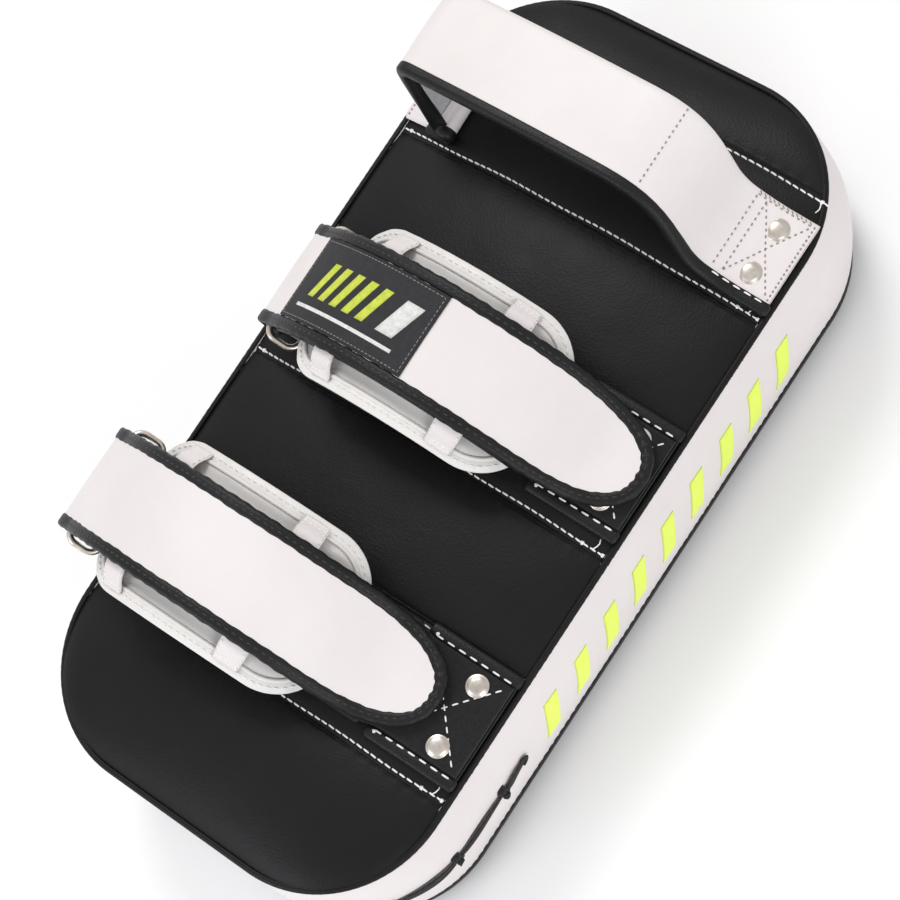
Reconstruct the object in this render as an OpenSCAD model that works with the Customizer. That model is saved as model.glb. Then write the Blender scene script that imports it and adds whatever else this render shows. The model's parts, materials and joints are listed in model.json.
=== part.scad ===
// Thai pad (kick pad): a foam-filled striking pad that lies on its striking face.
// Millimetres. +X across the pad, +Y towards its top end, +Z out of its back, z = 0 on the striking face.

/* [Pad body] */
// Length of the pad along Y
pad_length = 390; // [370:5:420]
// Width of the pad along X, seam to seam
pad_width = 196; // [190:2:206]
// Corner radius of the pad seen from the back
corner_radius = 58; // [50:1:64]
// Height of the back seam above the striking face
seam_height = 78; // [72:1:84]
// How far the back swells above its seam in the middle
back_crown = 12; // [10:0.5:14]
// Thickness of the outer leather
skin = 2; // [1.5:0.1:2.4]
// Height at which the striking cover meets the side wall
cover_lip = 10; // [8:1:14]

/* [Cross bands] */
// Width of each band sewn across the back
band_width = 60; // [54:1:62]
// How far a band stands proud of the back panels
band_proud = 1; // [0.8:0.1:1.2]
// Centre of the top band along Y
top_band_y = 135; // [133:1:137]
// Centre of the middle band along Y
middle_band_y = 19; // [16:1:22]
// Centre of the bottom band along Y
bottom_band_y = -100; // [-103:1:-97]

/* [Handle] */
// Width of the handle strap along Y
handle_width = 42; // [38:1:46]
// Height of the handle's middle line above the striking face
handle_height = 128; // [122:1:134]
// Thickness of the padded handle
handle_thickness = 6; // [5:0.5:7]

/* [Forearm straps] */
// Width of the folded-back outer strap
strap_width = 49; // [46:1:50]
// Radius of the arch that each forearm strap makes
arch_radius = 95; // [94:1:97]
// Centre of the upper forearm strap along Y
upper_strap_y = 24; // [22:1:26]
// Centre of the lower forearm strap along Y
lower_strap_y = -96; // [-98:1:-94]
// Centre of the upper strap's arch along X
upper_arch_x = -10; // [-12:1:-8]
// Centre of the lower strap's arch along X
lower_arch_x = -36; // [-38:1:-34]

/* [Forearm cushions] */
// Size of each cushion along Y
cushion_width = 74; // [70:1:78]
// Thickness of each cushion
cushion_thickness = 12; // [10:0.5:13]
// Half of the angle that a cushion covers along its strap
cushion_angle = 35; // [33:1:36]

/* [Fasteners] */
// Radius of a rivet cap
rivet_cap_r = 5; // [4.5:0.25:5.5]
// Radius of the wire of the two strap rings
ring_wire_r = 1.5; // [1.25:0.05:1.6]

/* [Hidden] */
$fn = 64;
half_w = pad_width / 2;
half_l = pad_length / 2;
eps = 0.01;
tall = 400;

// The back is a cylinder along Y that passes through both side seams and the crown
back_radius = (half_w^2 + back_crown^2) / (2 * back_crown);
back_centre_z = seam_height + back_crown - back_radius;
function back_z(x, lift = 0) = back_centre_z + sqrt((back_radius + lift)^2 - x^2);

// Room left between layers that are sewn together
sewn_gap = 0.1;

// Foam layers, as heights above the striking face
soft_foam_top = 30;
firm_foam_top = 58;
foam_gap = 0.3;

// Cross bands and the panels between them
band_ys = [top_band_y, middle_band_y, bottom_band_y];
half_band = band_width / 2;

// Laced opening in the wall round the bottom right corner
slit_z = 42;
slit_height = 5;
slit_start = -43;
slit_end = 60;
lace_first = 17;
lace_step = 33;
lace_count = 3;
lace_row = 8;
lace_width = 4.4;
lace_thickness = 1;
eyelet_r = 2.6;
eyelet_hole_r = 1.4;
eyelet_rim = 0.9;
eyelet_rim_h = 0.8;
placket_thickness = 1.2;
placket_half_height = 14;
placket_extra = 8;

// Slanted marks on the right wall
chevron_count = 9;
chevron_pitch = 22;
chevron_start_y = -82;
chevron_width = 9;
chevron_low_z = 30;
chevron_high_z = 56;
chevron_lean = 9;
chevron_thickness = 0.4;

// Handle route in X and Z: flat along the back, folded back and up, over the hand, down and flat again
handle_y = top_band_y;
handle_fold_x = -72;
handle_left_x = -88;
handle_right_x = 44;
handle_land_x = 66;
handle_split_z = 98;
handle_skin = 1.2;
handle_left_bend = 9;
handle_right_bend = 20;
handle_rivet_left_x = -88;
handle_rivet_right_x = 84;
handle_rivet_pitch = 22;
anchor_thickness = 3;
anchor_gap = 0.3;
anchor_tuck = 5;
edge_inset = 1;
binding_width = 4;
binding_proud = 0.4;

// Layers of a forearm strap, measured outwards from the inner strap's middle line
strap_half = 1;
keeper_low = 1.4;
keeper_high = 2.6;
hook_low = 1.4;
outer_low = 3.4;
outer_high = 5.8;
outer_mid = (outer_low + outer_high) / 2;
fold_offset = outer_mid / 2;
fold_spread = 2.3;
fold_half = 1;
fold_angle = 51;
spread_angle = 6.5;
land_angle = 42;
arch_top_z = 131;
arch_z = arch_top_z - arch_radius;
inner_strap_width = 48;
patch_width = 56;
patch_thickness = 2;
patch_length = 34;
strap_end_x = half_w - 1.5;
strap_lift = band_proud + sewn_gap + patch_thickness + sewn_gap + strap_half;
arch_step = 1.5;
foot_reach = 82;
foot_run = 12;
foot_bend = 9;
slab_steps = 24;
tongue_length = 52;
fold_gap = 0.4;
hook_start_angle = 27.5;
hook_end_angle = 35;
label_length = 82;
label_width = 40;
label_thickness = 0.6;
label_angle = -16;
upper_tip_x = 97;
lower_tip_x = 76;

// Cushions and the keepers that hold them to the inner strap
cushion_low = -1.4 - cushion_thickness;
cushion_high = -1.4;
cushion_skin = 1.2;
cushion_corner = 26;
keeper_length = 13;
keeper_angle = 20;
keeper_leg = 1.2;
keeper_clear = 1;

// Rings and tabs
ring_span = 15;
ring_tilt = 28;
ring_half_width = 28;
ring_corner = 5;
tab_width = 44;
tab_half = 1;
tab_clear = 0.4;
upper_tab_end_x = -80;
lower_tab_start_x = -68;
lower_tab_end_x = -90;

// Rivets
rivet_cap_h = 1.5;
rivet_shank_r = 2;
rivet_hole_r = 2.1;
rivet_pitch = 29;
upper_tab_rivet_x = -90;
lower_tab_rivet_x = -78;
strap_rivet_x = 84;

white = [0.95, 0.90, 0.89];
black = [0.12, 0.11, 0.12];
grey = [0.70, 0.69, 0.70];
steel = [0.78, 0.76, 0.73];
foam_blue = [0.45, 0.55, 0.65];
foam_grey = [0.55, 0.55, 0.58];
lime = [0.86, 1.0, 0.25];

// ---- shared shapes ----

module outline(inset = 0) {
  w = half_w - inset;
  l = half_l - inset;
  r = corner_radius - inset;
  union() {
    square([2 * w, 2 * (l - r)], center = true);
    square([2 * (w - r), 2 * l], center = true);
    for (sx = [-1, 1], sy = [-1, 1]) translate([sx * (w - r), sy * (l - r)]) circle(r);
  }
}

// Solid of the pad's outline between z = low and the back's surface moved by lift
module under_back(inset, low, lift) {
  intersection() {
    translate([0, 0, low]) linear_extrude(tall) outline(inset);
    translate([0, half_l + 1, back_centre_z]) rotate([90, 0, 0])
      cylinder(h = pad_length + 2, r = back_radius + lift, $fn = 180);
  }
}

// The skin of the back between two places along Y
module back_skin(y0, y1, inset, low, high) {
  intersection() {
    difference() {
      under_back(inset, cover_lip, high);
      under_back(-1, 0, low);
    }
    translate([-half_w - 1, y0, 0]) cube([pad_width + 2, y1 - y0, tall]);
  }
}

function unit(v) = v / norm(v);
function reversed(p) = [for (i = [len(p) - 1:-1:0]) p[i]];

// A path moved sideways by d, to its left as it runs
function moved(p, d) = [
  for (i = [0:len(p) - 1])
    let (t = unit(p[min(i + 1, len(p) - 1)] - p[max(i - 1, 0)]))
    p[i] + d * [-t[1], t[0]]
];

// A corner at b between a and c, rounded over the length back
function corner(a, b, c, back, n = 8) = [
  for (i = [0:n])
    let (t = i / n, p = b + back * unit(a - b), q = b + back * unit(c - b))
    (1 - t)^2 * p + 2 * t * (1 - t) * b + t^2 * q
];

// A strip of strap: the path in X and Z, from low to high beside it, y0 to y1 along Y
module strip(path, low, high, y0, y1) {
  translate([0, y1, 0]) rotate([90, 0, 0])
    linear_extrude(y1 - y0) polygon(concat(moved(path, high), reversed(moved(path, low))));
}

// Places things on the back at x, square to its surface, in two rows spaced by pitch along Y
module on_back(x, y, pitch, lift) {
  for (s = [-1, 1]) translate([0, y + s * pitch / 2, back_centre_z]) rotate([0, asin(x / back_radius), 0])
    translate([0, 0, back_radius + lift]) children();
}

// Two rivets through all the layers below lift, down to the inside of the band
module rivet_pair(x, y, pitch, lift) {
  on_back(x, y, pitch, lift) cylinder(h = rivet_cap_h, r = rivet_cap_r);
  on_back(x, y, pitch, sewn_gap - skin) cylinder(h = lift + skin, r = rivet_shank_r);
}

module rivet_holes(x, y, pitch) { on_back(x, y, pitch, -2 * skin) cylinder(h = 6 * skin, r = rivet_hole_r); }

// ---- body ----

module striking_cover() {
  color(black) difference() {
    linear_extrude(cover_lip) outline();
    translate([0, 0, skin]) linear_extrude(tall) outline(skin);
  }
}

module side_wall() {
  color(white) difference() {
    under_back(0, cover_lip, -skin);
    translate([0, 0, -1]) linear_extrude(tall) outline(skin);
    slit();
    for (i = [0:lace_count - 1], row = [-1, 1]) at_wall(lace_u(i), slit_z + row * lace_row)
      translate([0, 0, -skin - 1]) cylinder(h = skin + 2, r = eyelet_r);
  }
}

module foam_layer(low, high) {
  translate([0, 0, low]) linear_extrude(high - low) outline(skin + placket_thickness + foam_gap);
}

module soft_strike_foam() { color(foam_blue) foam_layer(skin, soft_foam_top); }

module firm_core_foam() { color(foam_grey) foam_layer(soft_foam_top, firm_foam_top); }

module back_foam() { color(foam_blue) under_back(skin + placket_thickness + foam_gap, firm_foam_top, -skin); }

module panel(y0, y1) { color(black) back_skin(y0, y1, 0, -skin, 0); }

module back_panel_top() { panel(band_ys[0] + half_band, half_l + 1); }

module back_panel_upper() { panel(band_ys[1] + half_band, band_ys[0] - half_band); }

module back_panel_lower() { panel(band_ys[2] + half_band, band_ys[1] - half_band); }

module back_panel_bottom() { panel(-half_l - 1, band_ys[2] - half_band); }

// A band with a pair of rivet holes towards each side
module cross_band(y, left_x, right_x, pitch, rivets_y) {
  color(black) difference() {
    back_skin(y - half_band, y + half_band, 0, -skin, band_proud);
    rivet_holes(left_x, rivets_y, pitch);
    rivet_holes(right_x, rivets_y, pitch);
  }
}

module cross_band_top() {
  cross_band(band_ys[0], handle_rivet_left_x, handle_rivet_right_x, handle_rivet_pitch, handle_y);
}

module cross_band_middle() {
  cross_band(band_ys[1], upper_tab_rivet_x, strap_rivet_x, rivet_pitch, upper_strap_y);
}

module cross_band_bottom() {
  cross_band(band_ys[2], lower_tab_rivet_x, strap_rivet_x, rivet_pitch, lower_strap_y);
}

module wall_chevrons() {
  color(lime) translate([half_w, 0, 0]) rotate([90, 0, 90]) linear_extrude(chevron_thickness)
    for (i = [0:chevron_count - 1]) translate([chevron_start_y + i * chevron_pitch, 0])
      polygon([
        [0, chevron_low_z], [chevron_width, chevron_low_z],
        [chevron_width + chevron_lean, chevron_high_z], [chevron_lean, chevron_high_z]
      ]);
}

// ---- laced opening ----

// Places along the wall: u = 0 where the right wall meets the bottom corner, growing round the corner
corner_x = half_w - corner_radius;
corner_y = -(half_l - corner_radius);
quarter = 90;
corner_length = corner_radius * PI / 2;
function wall_turn(u) = min(max(u / corner_length, 0), 1) * quarter;
function wall_spot(u, out) =
  let (a = wall_turn(u), r = corner_radius + out)
  u < 0 ? [half_w + out, corner_y - u] : [corner_x + r * cos(a), corner_y - r * sin(a)];
function lace_u(i) = slit_start + lace_first + i * lace_step;

module at_wall(u, z) {
  translate(concat(wall_spot(u, 0), z)) rotate([0, 90, -wall_turn(u)]) children();
}

// A band that follows the wall between two depths and between two places along it
module wall_band(in, out, u0, u1, low, high) {
  translate([0, 0, low]) linear_extrude(high - low) union() {
    translate([half_w + in, corner_y]) square([out - in, -u0]);
    translate([corner_x, corner_y]) difference() {
      intersection() {
        circle(corner_radius + out, $fn = 128);
        translate([0, -tall]) square(tall);
      }
      circle(corner_radius + in, $fn = 128);
      rotate(-wall_turn(u1)) translate([0, -tall]) square(tall);
    }
  }
}

module slit() {
  wall_band(-skin - 1, 1, slit_start, slit_end, slit_z - slit_height / 2, slit_z + slit_height / 2);
}

module lace_placket() {
  u0 = slit_start - placket_extra;
  u1 = slit_end + placket_extra;
  half = placket_half_height;
  color(black) wall_band(-skin - placket_thickness, -skin, u0, u1, slit_z - half, slit_z + half);
}

module lace_eyelets() {
  color(black) for (i = [0:lace_count - 1], row = [-1, 1]) at_wall(lace_u(i), slit_z + row * lace_row)
    translate([0, 0, -skin + sewn_gap]) difference() {
      union() {
        cylinder(h = skin, r = eyelet_r - sewn_gap);
        translate([0, 0, skin - sewn_gap]) cylinder(h = eyelet_rim_h, r = eyelet_r + eyelet_rim);
      }
      translate([0, 0, -1]) cylinder(h = skin + 4, r = eyelet_hole_r);
    }
}

// The lace climbs across the slit between each pair of eyelets, outside the wall
lace_out = 1.5;
lace_hop = 0.8;
lace_steps = 8;
function lace_side(i) = i % 2 == 0 ? 1 : -1;
function lace_point(i, t) = [lace_u(i) + t * lace_step, slit_z + lace_row * (2 * t - 1) * lace_side(i)];
lace_route = [
  for (i = [0:lace_count - 2], k = [0:lace_steps - 1]) lace_point(i, k / lace_steps),
  lace_point(lace_count - 2, 1)
];
function lace_rise(p) = lace_out + lace_hop * (1 - abs(p[1] - slit_z) / lace_row);
function lace_ring(i) =
  let (
    p = lace_route[i],
    n = len(lace_route),
    d = unit(lace_route[min(i + 1, n - 1)] - lace_route[max(i - 1, 0)])
  )
  [for (c = [[-1, 0], [-1, 1], [1, 1], [1, 0]])
    let (u = p[0] - c[0] * d[1] * lace_width / 2, z = p[1] + c[0] * d[0] * lace_width / 2)
    concat(wall_spot(u, lace_rise(p) + c[1] * lace_thickness), z)];

module lace() {
  n = len(lace_route);
  color(black) polyhedron(
    points = [for (i = [0:n - 1]) each lace_ring(i)],
    faces = concat(
      [[3, 2, 1, 0], [for (k = [0:3]) 4 * (n - 1) + k]],
      [
        for (i = [0:n - 2], k = [0:3])
          [4 * i + k, 4 * i + (k + 1) % 4, 4 * (i + 1) + (k + 1) % 4, 4 * (i + 1) + k]
      ]
    ),
    convexity = 10
  );
}

// ---- handle ----

anchor_lift = band_proud + sewn_gap;
foot_lift = anchor_lift + anchor_thickness + sewn_gap;
handle_half = handle_thickness / 2;
hy0 = handle_y - handle_width / 2;
hy1 = handle_y + handle_width / 2;
fold_low = [handle_fold_x, back_z(handle_fold_x, foot_lift + handle_half)];
fold_high = [handle_left_x, handle_height];
shoulder = [handle_right_x, handle_height];
landing = [handle_land_x, back_z(handle_land_x, foot_lift + handle_half)];
handle_path = concat(
  [fold_low],
  corner(fold_low, fold_high, shoulder, handle_left_bend),
  corner(fold_high, shoulder, landing, handle_right_bend),
  [landing]
);

module handle_layer(low, high, y0, y1) { strip(handle_path, low, high, y0, y1); }

module above(z) {
  intersection() {
    children();
    translate([-tall, -tall, z]) cube([2 * tall, 2 * tall, tall]);
  }
}

module below(z) {
  intersection() {
    children();
    translate([-tall, -tall, z - tall]) cube([2 * tall, 2 * tall, tall]);
  }
}

function back_path(x0, x1, lift, n = 10) = [
  for (i = [0:n])
    let (x = x0 + (x1 - x0) * i / n)
    [x, back_z(x, lift)]
];

module handle_anchor(x0, x1, rivet_x) {
  color(white) difference() {
    strip(back_path(x0, x1, anchor_lift), 0, anchor_thickness, hy0, hy1);
    rivet_holes(rivet_x, handle_y, handle_rivet_pitch);
  }
}

module handle_anchor_left() {
  handle_anchor(-half_w + edge_inset, handle_fold_x + anchor_tuck, handle_rivet_left_x);
}

module handle_anchor_right() {
  handle_anchor(handle_land_x - anchor_tuck, half_w - edge_inset, handle_rivet_right_x);
}

module handle_rivets() {
  color(steel) for (x = [handle_rivet_left_x, handle_rivet_right_x])
    rivet_pair(x, handle_y, handle_rivet_pitch, foot_lift);
}

module handle_feet() {
  color(white) below(handle_split_z - anchor_gap) handle_layer(-handle_half, handle_half, hy0, hy1);
}

module handle_shell() {
  color(white) above(handle_split_z)
    handle_layer(handle_half - handle_skin, handle_half, hy0 + binding_width, hy1);
}

module handle_foam() {
  color(foam_grey) above(handle_split_z)
    handle_layer(-handle_half + handle_skin, handle_half - handle_skin, hy0 + binding_width, hy1);
}

module handle_lining() {
  color(grey) above(handle_split_z)
    handle_layer(-handle_half, -handle_half + handle_skin, hy0 + binding_width, hy1);
}

module handle_binding() {
  color(black) above(handle_split_z)
    handle_layer(-handle_half - binding_proud, handle_half + binding_proud, hy0 - 1, hy0 + binding_width);
}

// ---- forearm straps ----

// One point of the arch: angle from straight up, distance outwards from the inner strap's middle line
function arch(x, angle, out) = [x, arch_z] + (arch_radius + out) * [sin(angle), cos(angle)];
function spread(angle) =
  let (t = min(max((angle + fold_angle) / spread_angle, 0), 1)) fold_spread * (1 - t^2 * (3 - 2 * t));

// A strap's line: round the arch from the ring, then down and flat along the back to end_x
function strap_line(x, out, way, end_x) =
  let (
    top = [for (a = [-fold_angle:arch_step:land_angle]) arch(x, a, out + way * spread(a))],
    last = arch(x, land_angle, out),
    lift = strap_lift + out,
    foot_x = last[0] + (last[1] - back_z(x + foot_reach, lift)) / tan(land_angle),
    foot = [foot_x, back_z(foot_x, lift)],
    flat_x = foot_x + foot_run,
    bend = corner(last, foot, [flat_x, back_z(flat_x, lift)], foot_bend)
  )
  concat(top, bend, back_path(flat_x, end_x, lift, 8));

module inner_strap(x, y) {
  half = inner_strap_width / 2;
  color(black) difference() {
    strip(strap_line(x, 0, -1, strap_end_x), -strap_half, strap_half, y - half, y + half);
    rivet_holes(strap_rivet_x, y, rivet_pitch);
  }
}

module strap_anchor(y) {
  half = patch_width / 2;
  path = back_path(strap_end_x - patch_length, strap_end_x, band_proud + sewn_gap);
  color(black) difference() {
    strip(path, 0, patch_thickness, y - half, y + half);
    rivet_holes(strap_rivet_x, y, rivet_pitch);
  }
}

// The outline of an outer strap seen from above, from far left to its tapered round tip
module tongue(tip_x, width) {
  polygon(concat(
    [[-tall, -width / 2]],
    [for (t = [-90:6:90]) [tip_x - tongue_length * (1 - cos(t)), width / 2 * sin(t)]],
    [[-tall, width / 2]]
  ));
}

module outer_layer(x, y, low, high, tip_x, inset) {
  intersection() {
    strip(strap_line(x, outer_mid, 1, tip_x + 2), low - outer_mid, high - outer_mid,
      y - strap_width / 2, y + strap_width / 2);
    translate([0, y, 0]) linear_extrude(tall) tongue(tip_x - inset, strap_width - 2 * inset);
  }
}

module outer_strap(x, y, tip_x) {
  color(white) outer_layer(x, y, outer_low, outer_high, tip_x, binding_width);
}

module strap_binding(x, y, tip_x) {
  color(black) difference() {
    outer_layer(x, y, outer_low - binding_proud, outer_high + binding_proud, tip_x, 0);
    translate([0, y, -1]) linear_extrude(tall) tongue(tip_x - binding_width, strap_width - 2 * binding_width);
  }
}

// A slab that follows the arch between two angles
module arch_slab(x, a0, a1, low, high, y0, y1) {
  strip([for (i = [0:slab_steps]) arch(x, a0 + (a1 - a0) * i / slab_steps, 0)], low, high, y0, y1);
}

module hook_patch(x, y) {
  half = strap_width / 2 - binding_width - sewn_gap;
  high = outer_low - sewn_gap;
  color(black) arch_slab(x, hook_start_angle, hook_end_angle, hook_low, high, y - half, y + half);
}

module strap_fold(x, y) {
  axis = arch(x, -fold_angle, fold_offset);
  fold_r = fold_offset + fold_spread;
  color(white) translate([axis[0], y, axis[1]]) rotate([90, -fold_angle, 0])
    linear_extrude(strap_width, center = true) intersection() {
      difference() {
        circle(fold_r + fold_half);
        circle(fold_r - fold_half);
      }
      translate([-tall - fold_gap, -tall / 2]) square([tall, tall]);
    }
}

// Half the angle that a length covers on the arch
function half_angle(length) = length / 2 / arch_radius * 180 / PI;

module label(x, y) {
  spread = half_angle(label_length);
  low = outer_high + sewn_gap;
  color(black) arch_slab(x, label_angle - spread, label_angle + spread, low, low + label_thickness,
    y - label_width / 2, y + label_width / 2);
}

// A wire loop: one long bar holds the strap's fold and the other sits in the anchor tab
module ring(x, y, turn) {
  axis = arch(x, -fold_angle, fold_offset);
  side = ring_half_width - ring_corner;
  color(steel) translate([axis[0], y, axis[1]]) rotate([0, turn, 0]) {
    for (bx = [0, ring_span]) translate([bx, side, 0]) rotate([90, 0, 0])
      cylinder(h = 2 * side, r = ring_wire_r);
    for (s = [-1, 1]) translate([ring_corner, s * ring_half_width, 0]) rotate([0, 90, 0])
      cylinder(h = ring_span - 2 * ring_corner, r = ring_wire_r);
    for (c = [[0, 1, 90], [1, 1, 0], [1, -1, 270], [0, -1, 180]])
      translate([ring_corner + c[0] * (ring_span - 2 * ring_corner), c[1] * side, 0])
        rotate_extrude(angle = 90, start = c[2]) translate([ring_corner, 0]) circle(ring_wire_r, $fn = 24);
  }
}

function tab_bar(x, turn) = arch(x, -fold_angle, fold_offset) + ring_span * [cos(turn), -sin(turn)];

// Where a line from p touches the lower side of the circle of radius r round c
function touch(p, c, r) =
  let (d = p - c, side = d[0] < 0 ? 1 : -1, a = atan2(d[1], d[0]) + side * acos(r / norm(d)))
  c + r * [cos(a), sin(a)];

// The tab lies on the back and wraps round the ring's lower bar
module anchor_tab(x, y, turn, from_x, to_x, rivet_x) {
  bar = tab_bar(x, turn);
  reach = ring_wire_r + tab_clear;
  flat = back_path(from_x, to_x, band_proud + sewn_gap + tab_half, 6);
  color(white) difference() {
    translate([0, y + tab_width / 2, 0]) rotate([90, 0, 0]) linear_extrude(tab_width) difference() {
      union() {
        translate(bar) circle(reach + 2 * tab_half);
        tab_outline(concat(flat, [touch(flat[len(flat) - 1], bar, reach + tab_half)]));
      }
      translate(bar) circle(reach);
    }
    rivet_holes(rivet_x, y, rivet_pitch);
  }
}

module tab_outline(path) { polygon(concat(moved(path, tab_half), reversed(moved(path, -tab_half)))); }

module strap_rivets(y, tab_x) {
  color(steel) {
    rivet_pair(strap_rivet_x, y, rivet_pitch, strap_lift + strap_half + sewn_gap);
    rivet_pair(tab_x, y, rivet_pitch, band_proud + 2 * sewn_gap + 2 * tab_half);
  }
}

// ---- forearm cushions ----

module cushion_outline(x, y, inset) {
  l = (arch_radius + cushion_high) * sin(cushion_angle) - inset;
  w = cushion_width / 2 - inset;
  r = cushion_corner - inset;
  translate([x, y]) union() {
    square([2 * l, 2 * (w - r)], center = true);
    square([2 * (l - r), 2 * w], center = true);
    for (sx = [-1, 1], sy = [-1, 1]) translate([sx * (l - r), sy * (w - r)]) circle(r);
  }
}

module cushion_layer(x, y, low, high, inset) {
  intersection() {
    arch_slab(x, -fold_angle, fold_angle, low, high, y - cushion_width, y + cushion_width);
    linear_extrude(tall) cushion_outline(x, y, inset);
  }
}

module cushion_cover(x, y) {
  color(white) difference() {
    cushion_layer(x, y, cushion_low + cushion_skin, cushion_high, 0);
    cushion_layer(x, y, cushion_low - 1, cushion_high - cushion_skin, cushion_skin);
  }
}

module cushion_foam(x, y) {
  inset = cushion_skin + eps;
  color(foam_grey) cushion_layer(x, y, cushion_low + cushion_skin, cushion_high - cushion_skin, inset);
}

module cushion_lining(x, y) { color(black) cushion_layer(x, y, cushion_low, cushion_low + cushion_skin, 0); }

module keepers(x, y) {
  half = half_angle(keeper_length);
  reach = inner_strap_width / 2 + keeper_clear;
  color(white) for (a = [-keeper_angle, keeper_angle]) {
    arch_slab(x, a - half, a + half, keeper_low, keeper_high, y - reach - keeper_leg, y + reach + keeper_leg);
    for (y0 = [y - reach - keeper_leg, y + reach])
      arch_slab(x, a - half, a + half, cushion_high, keeper_low, y0, y0 + keeper_leg);
  }
}

// ---- the two forearm straps ----

module upper_anchor_tab() {
  start_x = -half_w + edge_inset;
  anchor_tab(upper_arch_x, upper_strap_y, ring_tilt, start_x, upper_tab_end_x, upper_tab_rivet_x);
}

module upper_strap_anchor() { strap_anchor(upper_strap_y); }

module upper_inner_strap() { inner_strap(upper_arch_x, upper_strap_y); }

module upper_rivets() { strap_rivets(upper_strap_y, upper_tab_rivet_x); }

module upper_strap_fold() { strap_fold(upper_arch_x, upper_strap_y); }

module upper_ring() { ring(upper_arch_x, upper_strap_y, ring_tilt); }

module upper_outer_strap() { outer_strap(upper_arch_x, upper_strap_y, upper_tip_x); }

module upper_strap_binding() { strap_binding(upper_arch_x, upper_strap_y, upper_tip_x); }

module upper_hook_patch() { hook_patch(upper_arch_x, upper_strap_y); }

module upper_label() { label(upper_arch_x, upper_strap_y); }

module upper_cushion_cover() { cushion_cover(upper_arch_x, upper_strap_y); }

module upper_cushion_foam() { cushion_foam(upper_arch_x, upper_strap_y); }

module upper_cushion_lining() { cushion_lining(upper_arch_x, upper_strap_y); }

module upper_keepers() { keepers(upper_arch_x, upper_strap_y); }

module lower_anchor_tab() {
  anchor_tab(lower_arch_x, lower_strap_y, ring_tilt, lower_tab_start_x, lower_tab_end_x, lower_tab_rivet_x);
}

module lower_strap_anchor() { strap_anchor(lower_strap_y); }

module lower_inner_strap() { inner_strap(lower_arch_x, lower_strap_y); }

module lower_rivets() { strap_rivets(lower_strap_y, lower_tab_rivet_x); }

module lower_strap_fold() { strap_fold(lower_arch_x, lower_strap_y); }

module lower_ring() { ring(lower_arch_x, lower_strap_y, ring_tilt); }

module lower_outer_strap() { outer_strap(lower_arch_x, lower_strap_y, lower_tip_x); }

module lower_strap_binding() { strap_binding(lower_arch_x, lower_strap_y, lower_tip_x); }

module lower_hook_patch() { hook_patch(lower_arch_x, lower_strap_y); }

module lower_cushion_cover() { cushion_cover(lower_arch_x, lower_strap_y); }

module lower_cushion_foam() { cushion_foam(lower_arch_x, lower_strap_y); }

module lower_cushion_lining() { cushion_lining(lower_arch_x, lower_strap_y); }

module lower_keepers() { keepers(lower_arch_x, lower_strap_y); }

striking_cover();
side_wall();
soft_strike_foam();
firm_core_foam();
back_foam();
back_panel_top();
back_panel_upper();
back_panel_lower();
back_panel_bottom();
cross_band_top();
cross_band_middle();
cross_band_bottom();
wall_chevrons();
lace_placket();
lace();
lace_eyelets();
handle_anchor_left();
handle_anchor_right();
handle_rivets();
handle_feet();
handle_shell();
handle_foam();
handle_lining();
handle_binding();
upper_anchor_tab();
upper_strap_anchor();
upper_inner_strap();
upper_rivets();
upper_strap_fold();
upper_ring();
upper_outer_strap();
upper_strap_binding();
upper_hook_patch();
upper_label();
upper_cushion_cover();
upper_cushion_foam();
upper_cushion_lining();
upper_keepers();
lower_anchor_tab();
lower_strap_anchor();
lower_inner_strap();
lower_rivets();
lower_strap_fold();
lower_ring();
lower_outer_strap();
lower_strap_binding();
lower_hook_patch();
lower_cushion_cover();
lower_cushion_foam();
lower_cushion_lining();
lower_keepers();
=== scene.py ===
"""Looks of the thai pad: leather, foam-filled cushions, straps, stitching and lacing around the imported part.

Shapes are worked out in millimetres in the part's own frame: +X towards the laced wall, +Y towards the
handle end, +Z out of the back. Their places come from the frame's boxes and joints.
"""
import math

import bmesh
import bpy
import numpy as np
from mathutils import Matrix, Vector
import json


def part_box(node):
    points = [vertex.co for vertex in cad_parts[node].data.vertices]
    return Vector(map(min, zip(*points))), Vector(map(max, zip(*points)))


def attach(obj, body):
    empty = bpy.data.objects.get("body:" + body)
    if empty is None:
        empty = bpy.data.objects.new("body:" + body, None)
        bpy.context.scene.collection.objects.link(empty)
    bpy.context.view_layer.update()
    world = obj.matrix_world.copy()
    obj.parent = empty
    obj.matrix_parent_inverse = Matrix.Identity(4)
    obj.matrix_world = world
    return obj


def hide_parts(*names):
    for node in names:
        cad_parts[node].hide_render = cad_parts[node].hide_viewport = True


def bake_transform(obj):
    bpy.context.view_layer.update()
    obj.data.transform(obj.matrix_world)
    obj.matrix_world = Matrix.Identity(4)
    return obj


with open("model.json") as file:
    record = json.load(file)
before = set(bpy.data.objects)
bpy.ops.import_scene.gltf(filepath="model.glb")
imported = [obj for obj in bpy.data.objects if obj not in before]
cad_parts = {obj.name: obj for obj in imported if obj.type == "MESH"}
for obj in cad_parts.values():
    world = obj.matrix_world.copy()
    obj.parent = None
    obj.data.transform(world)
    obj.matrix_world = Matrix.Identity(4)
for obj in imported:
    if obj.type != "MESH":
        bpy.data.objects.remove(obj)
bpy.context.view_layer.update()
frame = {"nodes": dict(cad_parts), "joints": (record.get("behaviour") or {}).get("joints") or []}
scene = bpy.context.scene
MM = 0.001


# ---- sizes, in millimetres ----

def high_corner(node):
    return np.array(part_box(node)[1]) / MM


def low_corner(node):
    return np.array(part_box(node)[0]) / MM


def joint_place(name):
    return np.array(next(j["pos_m"] for j in frame["joints"] if j["name"] == name)) / MM


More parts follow.
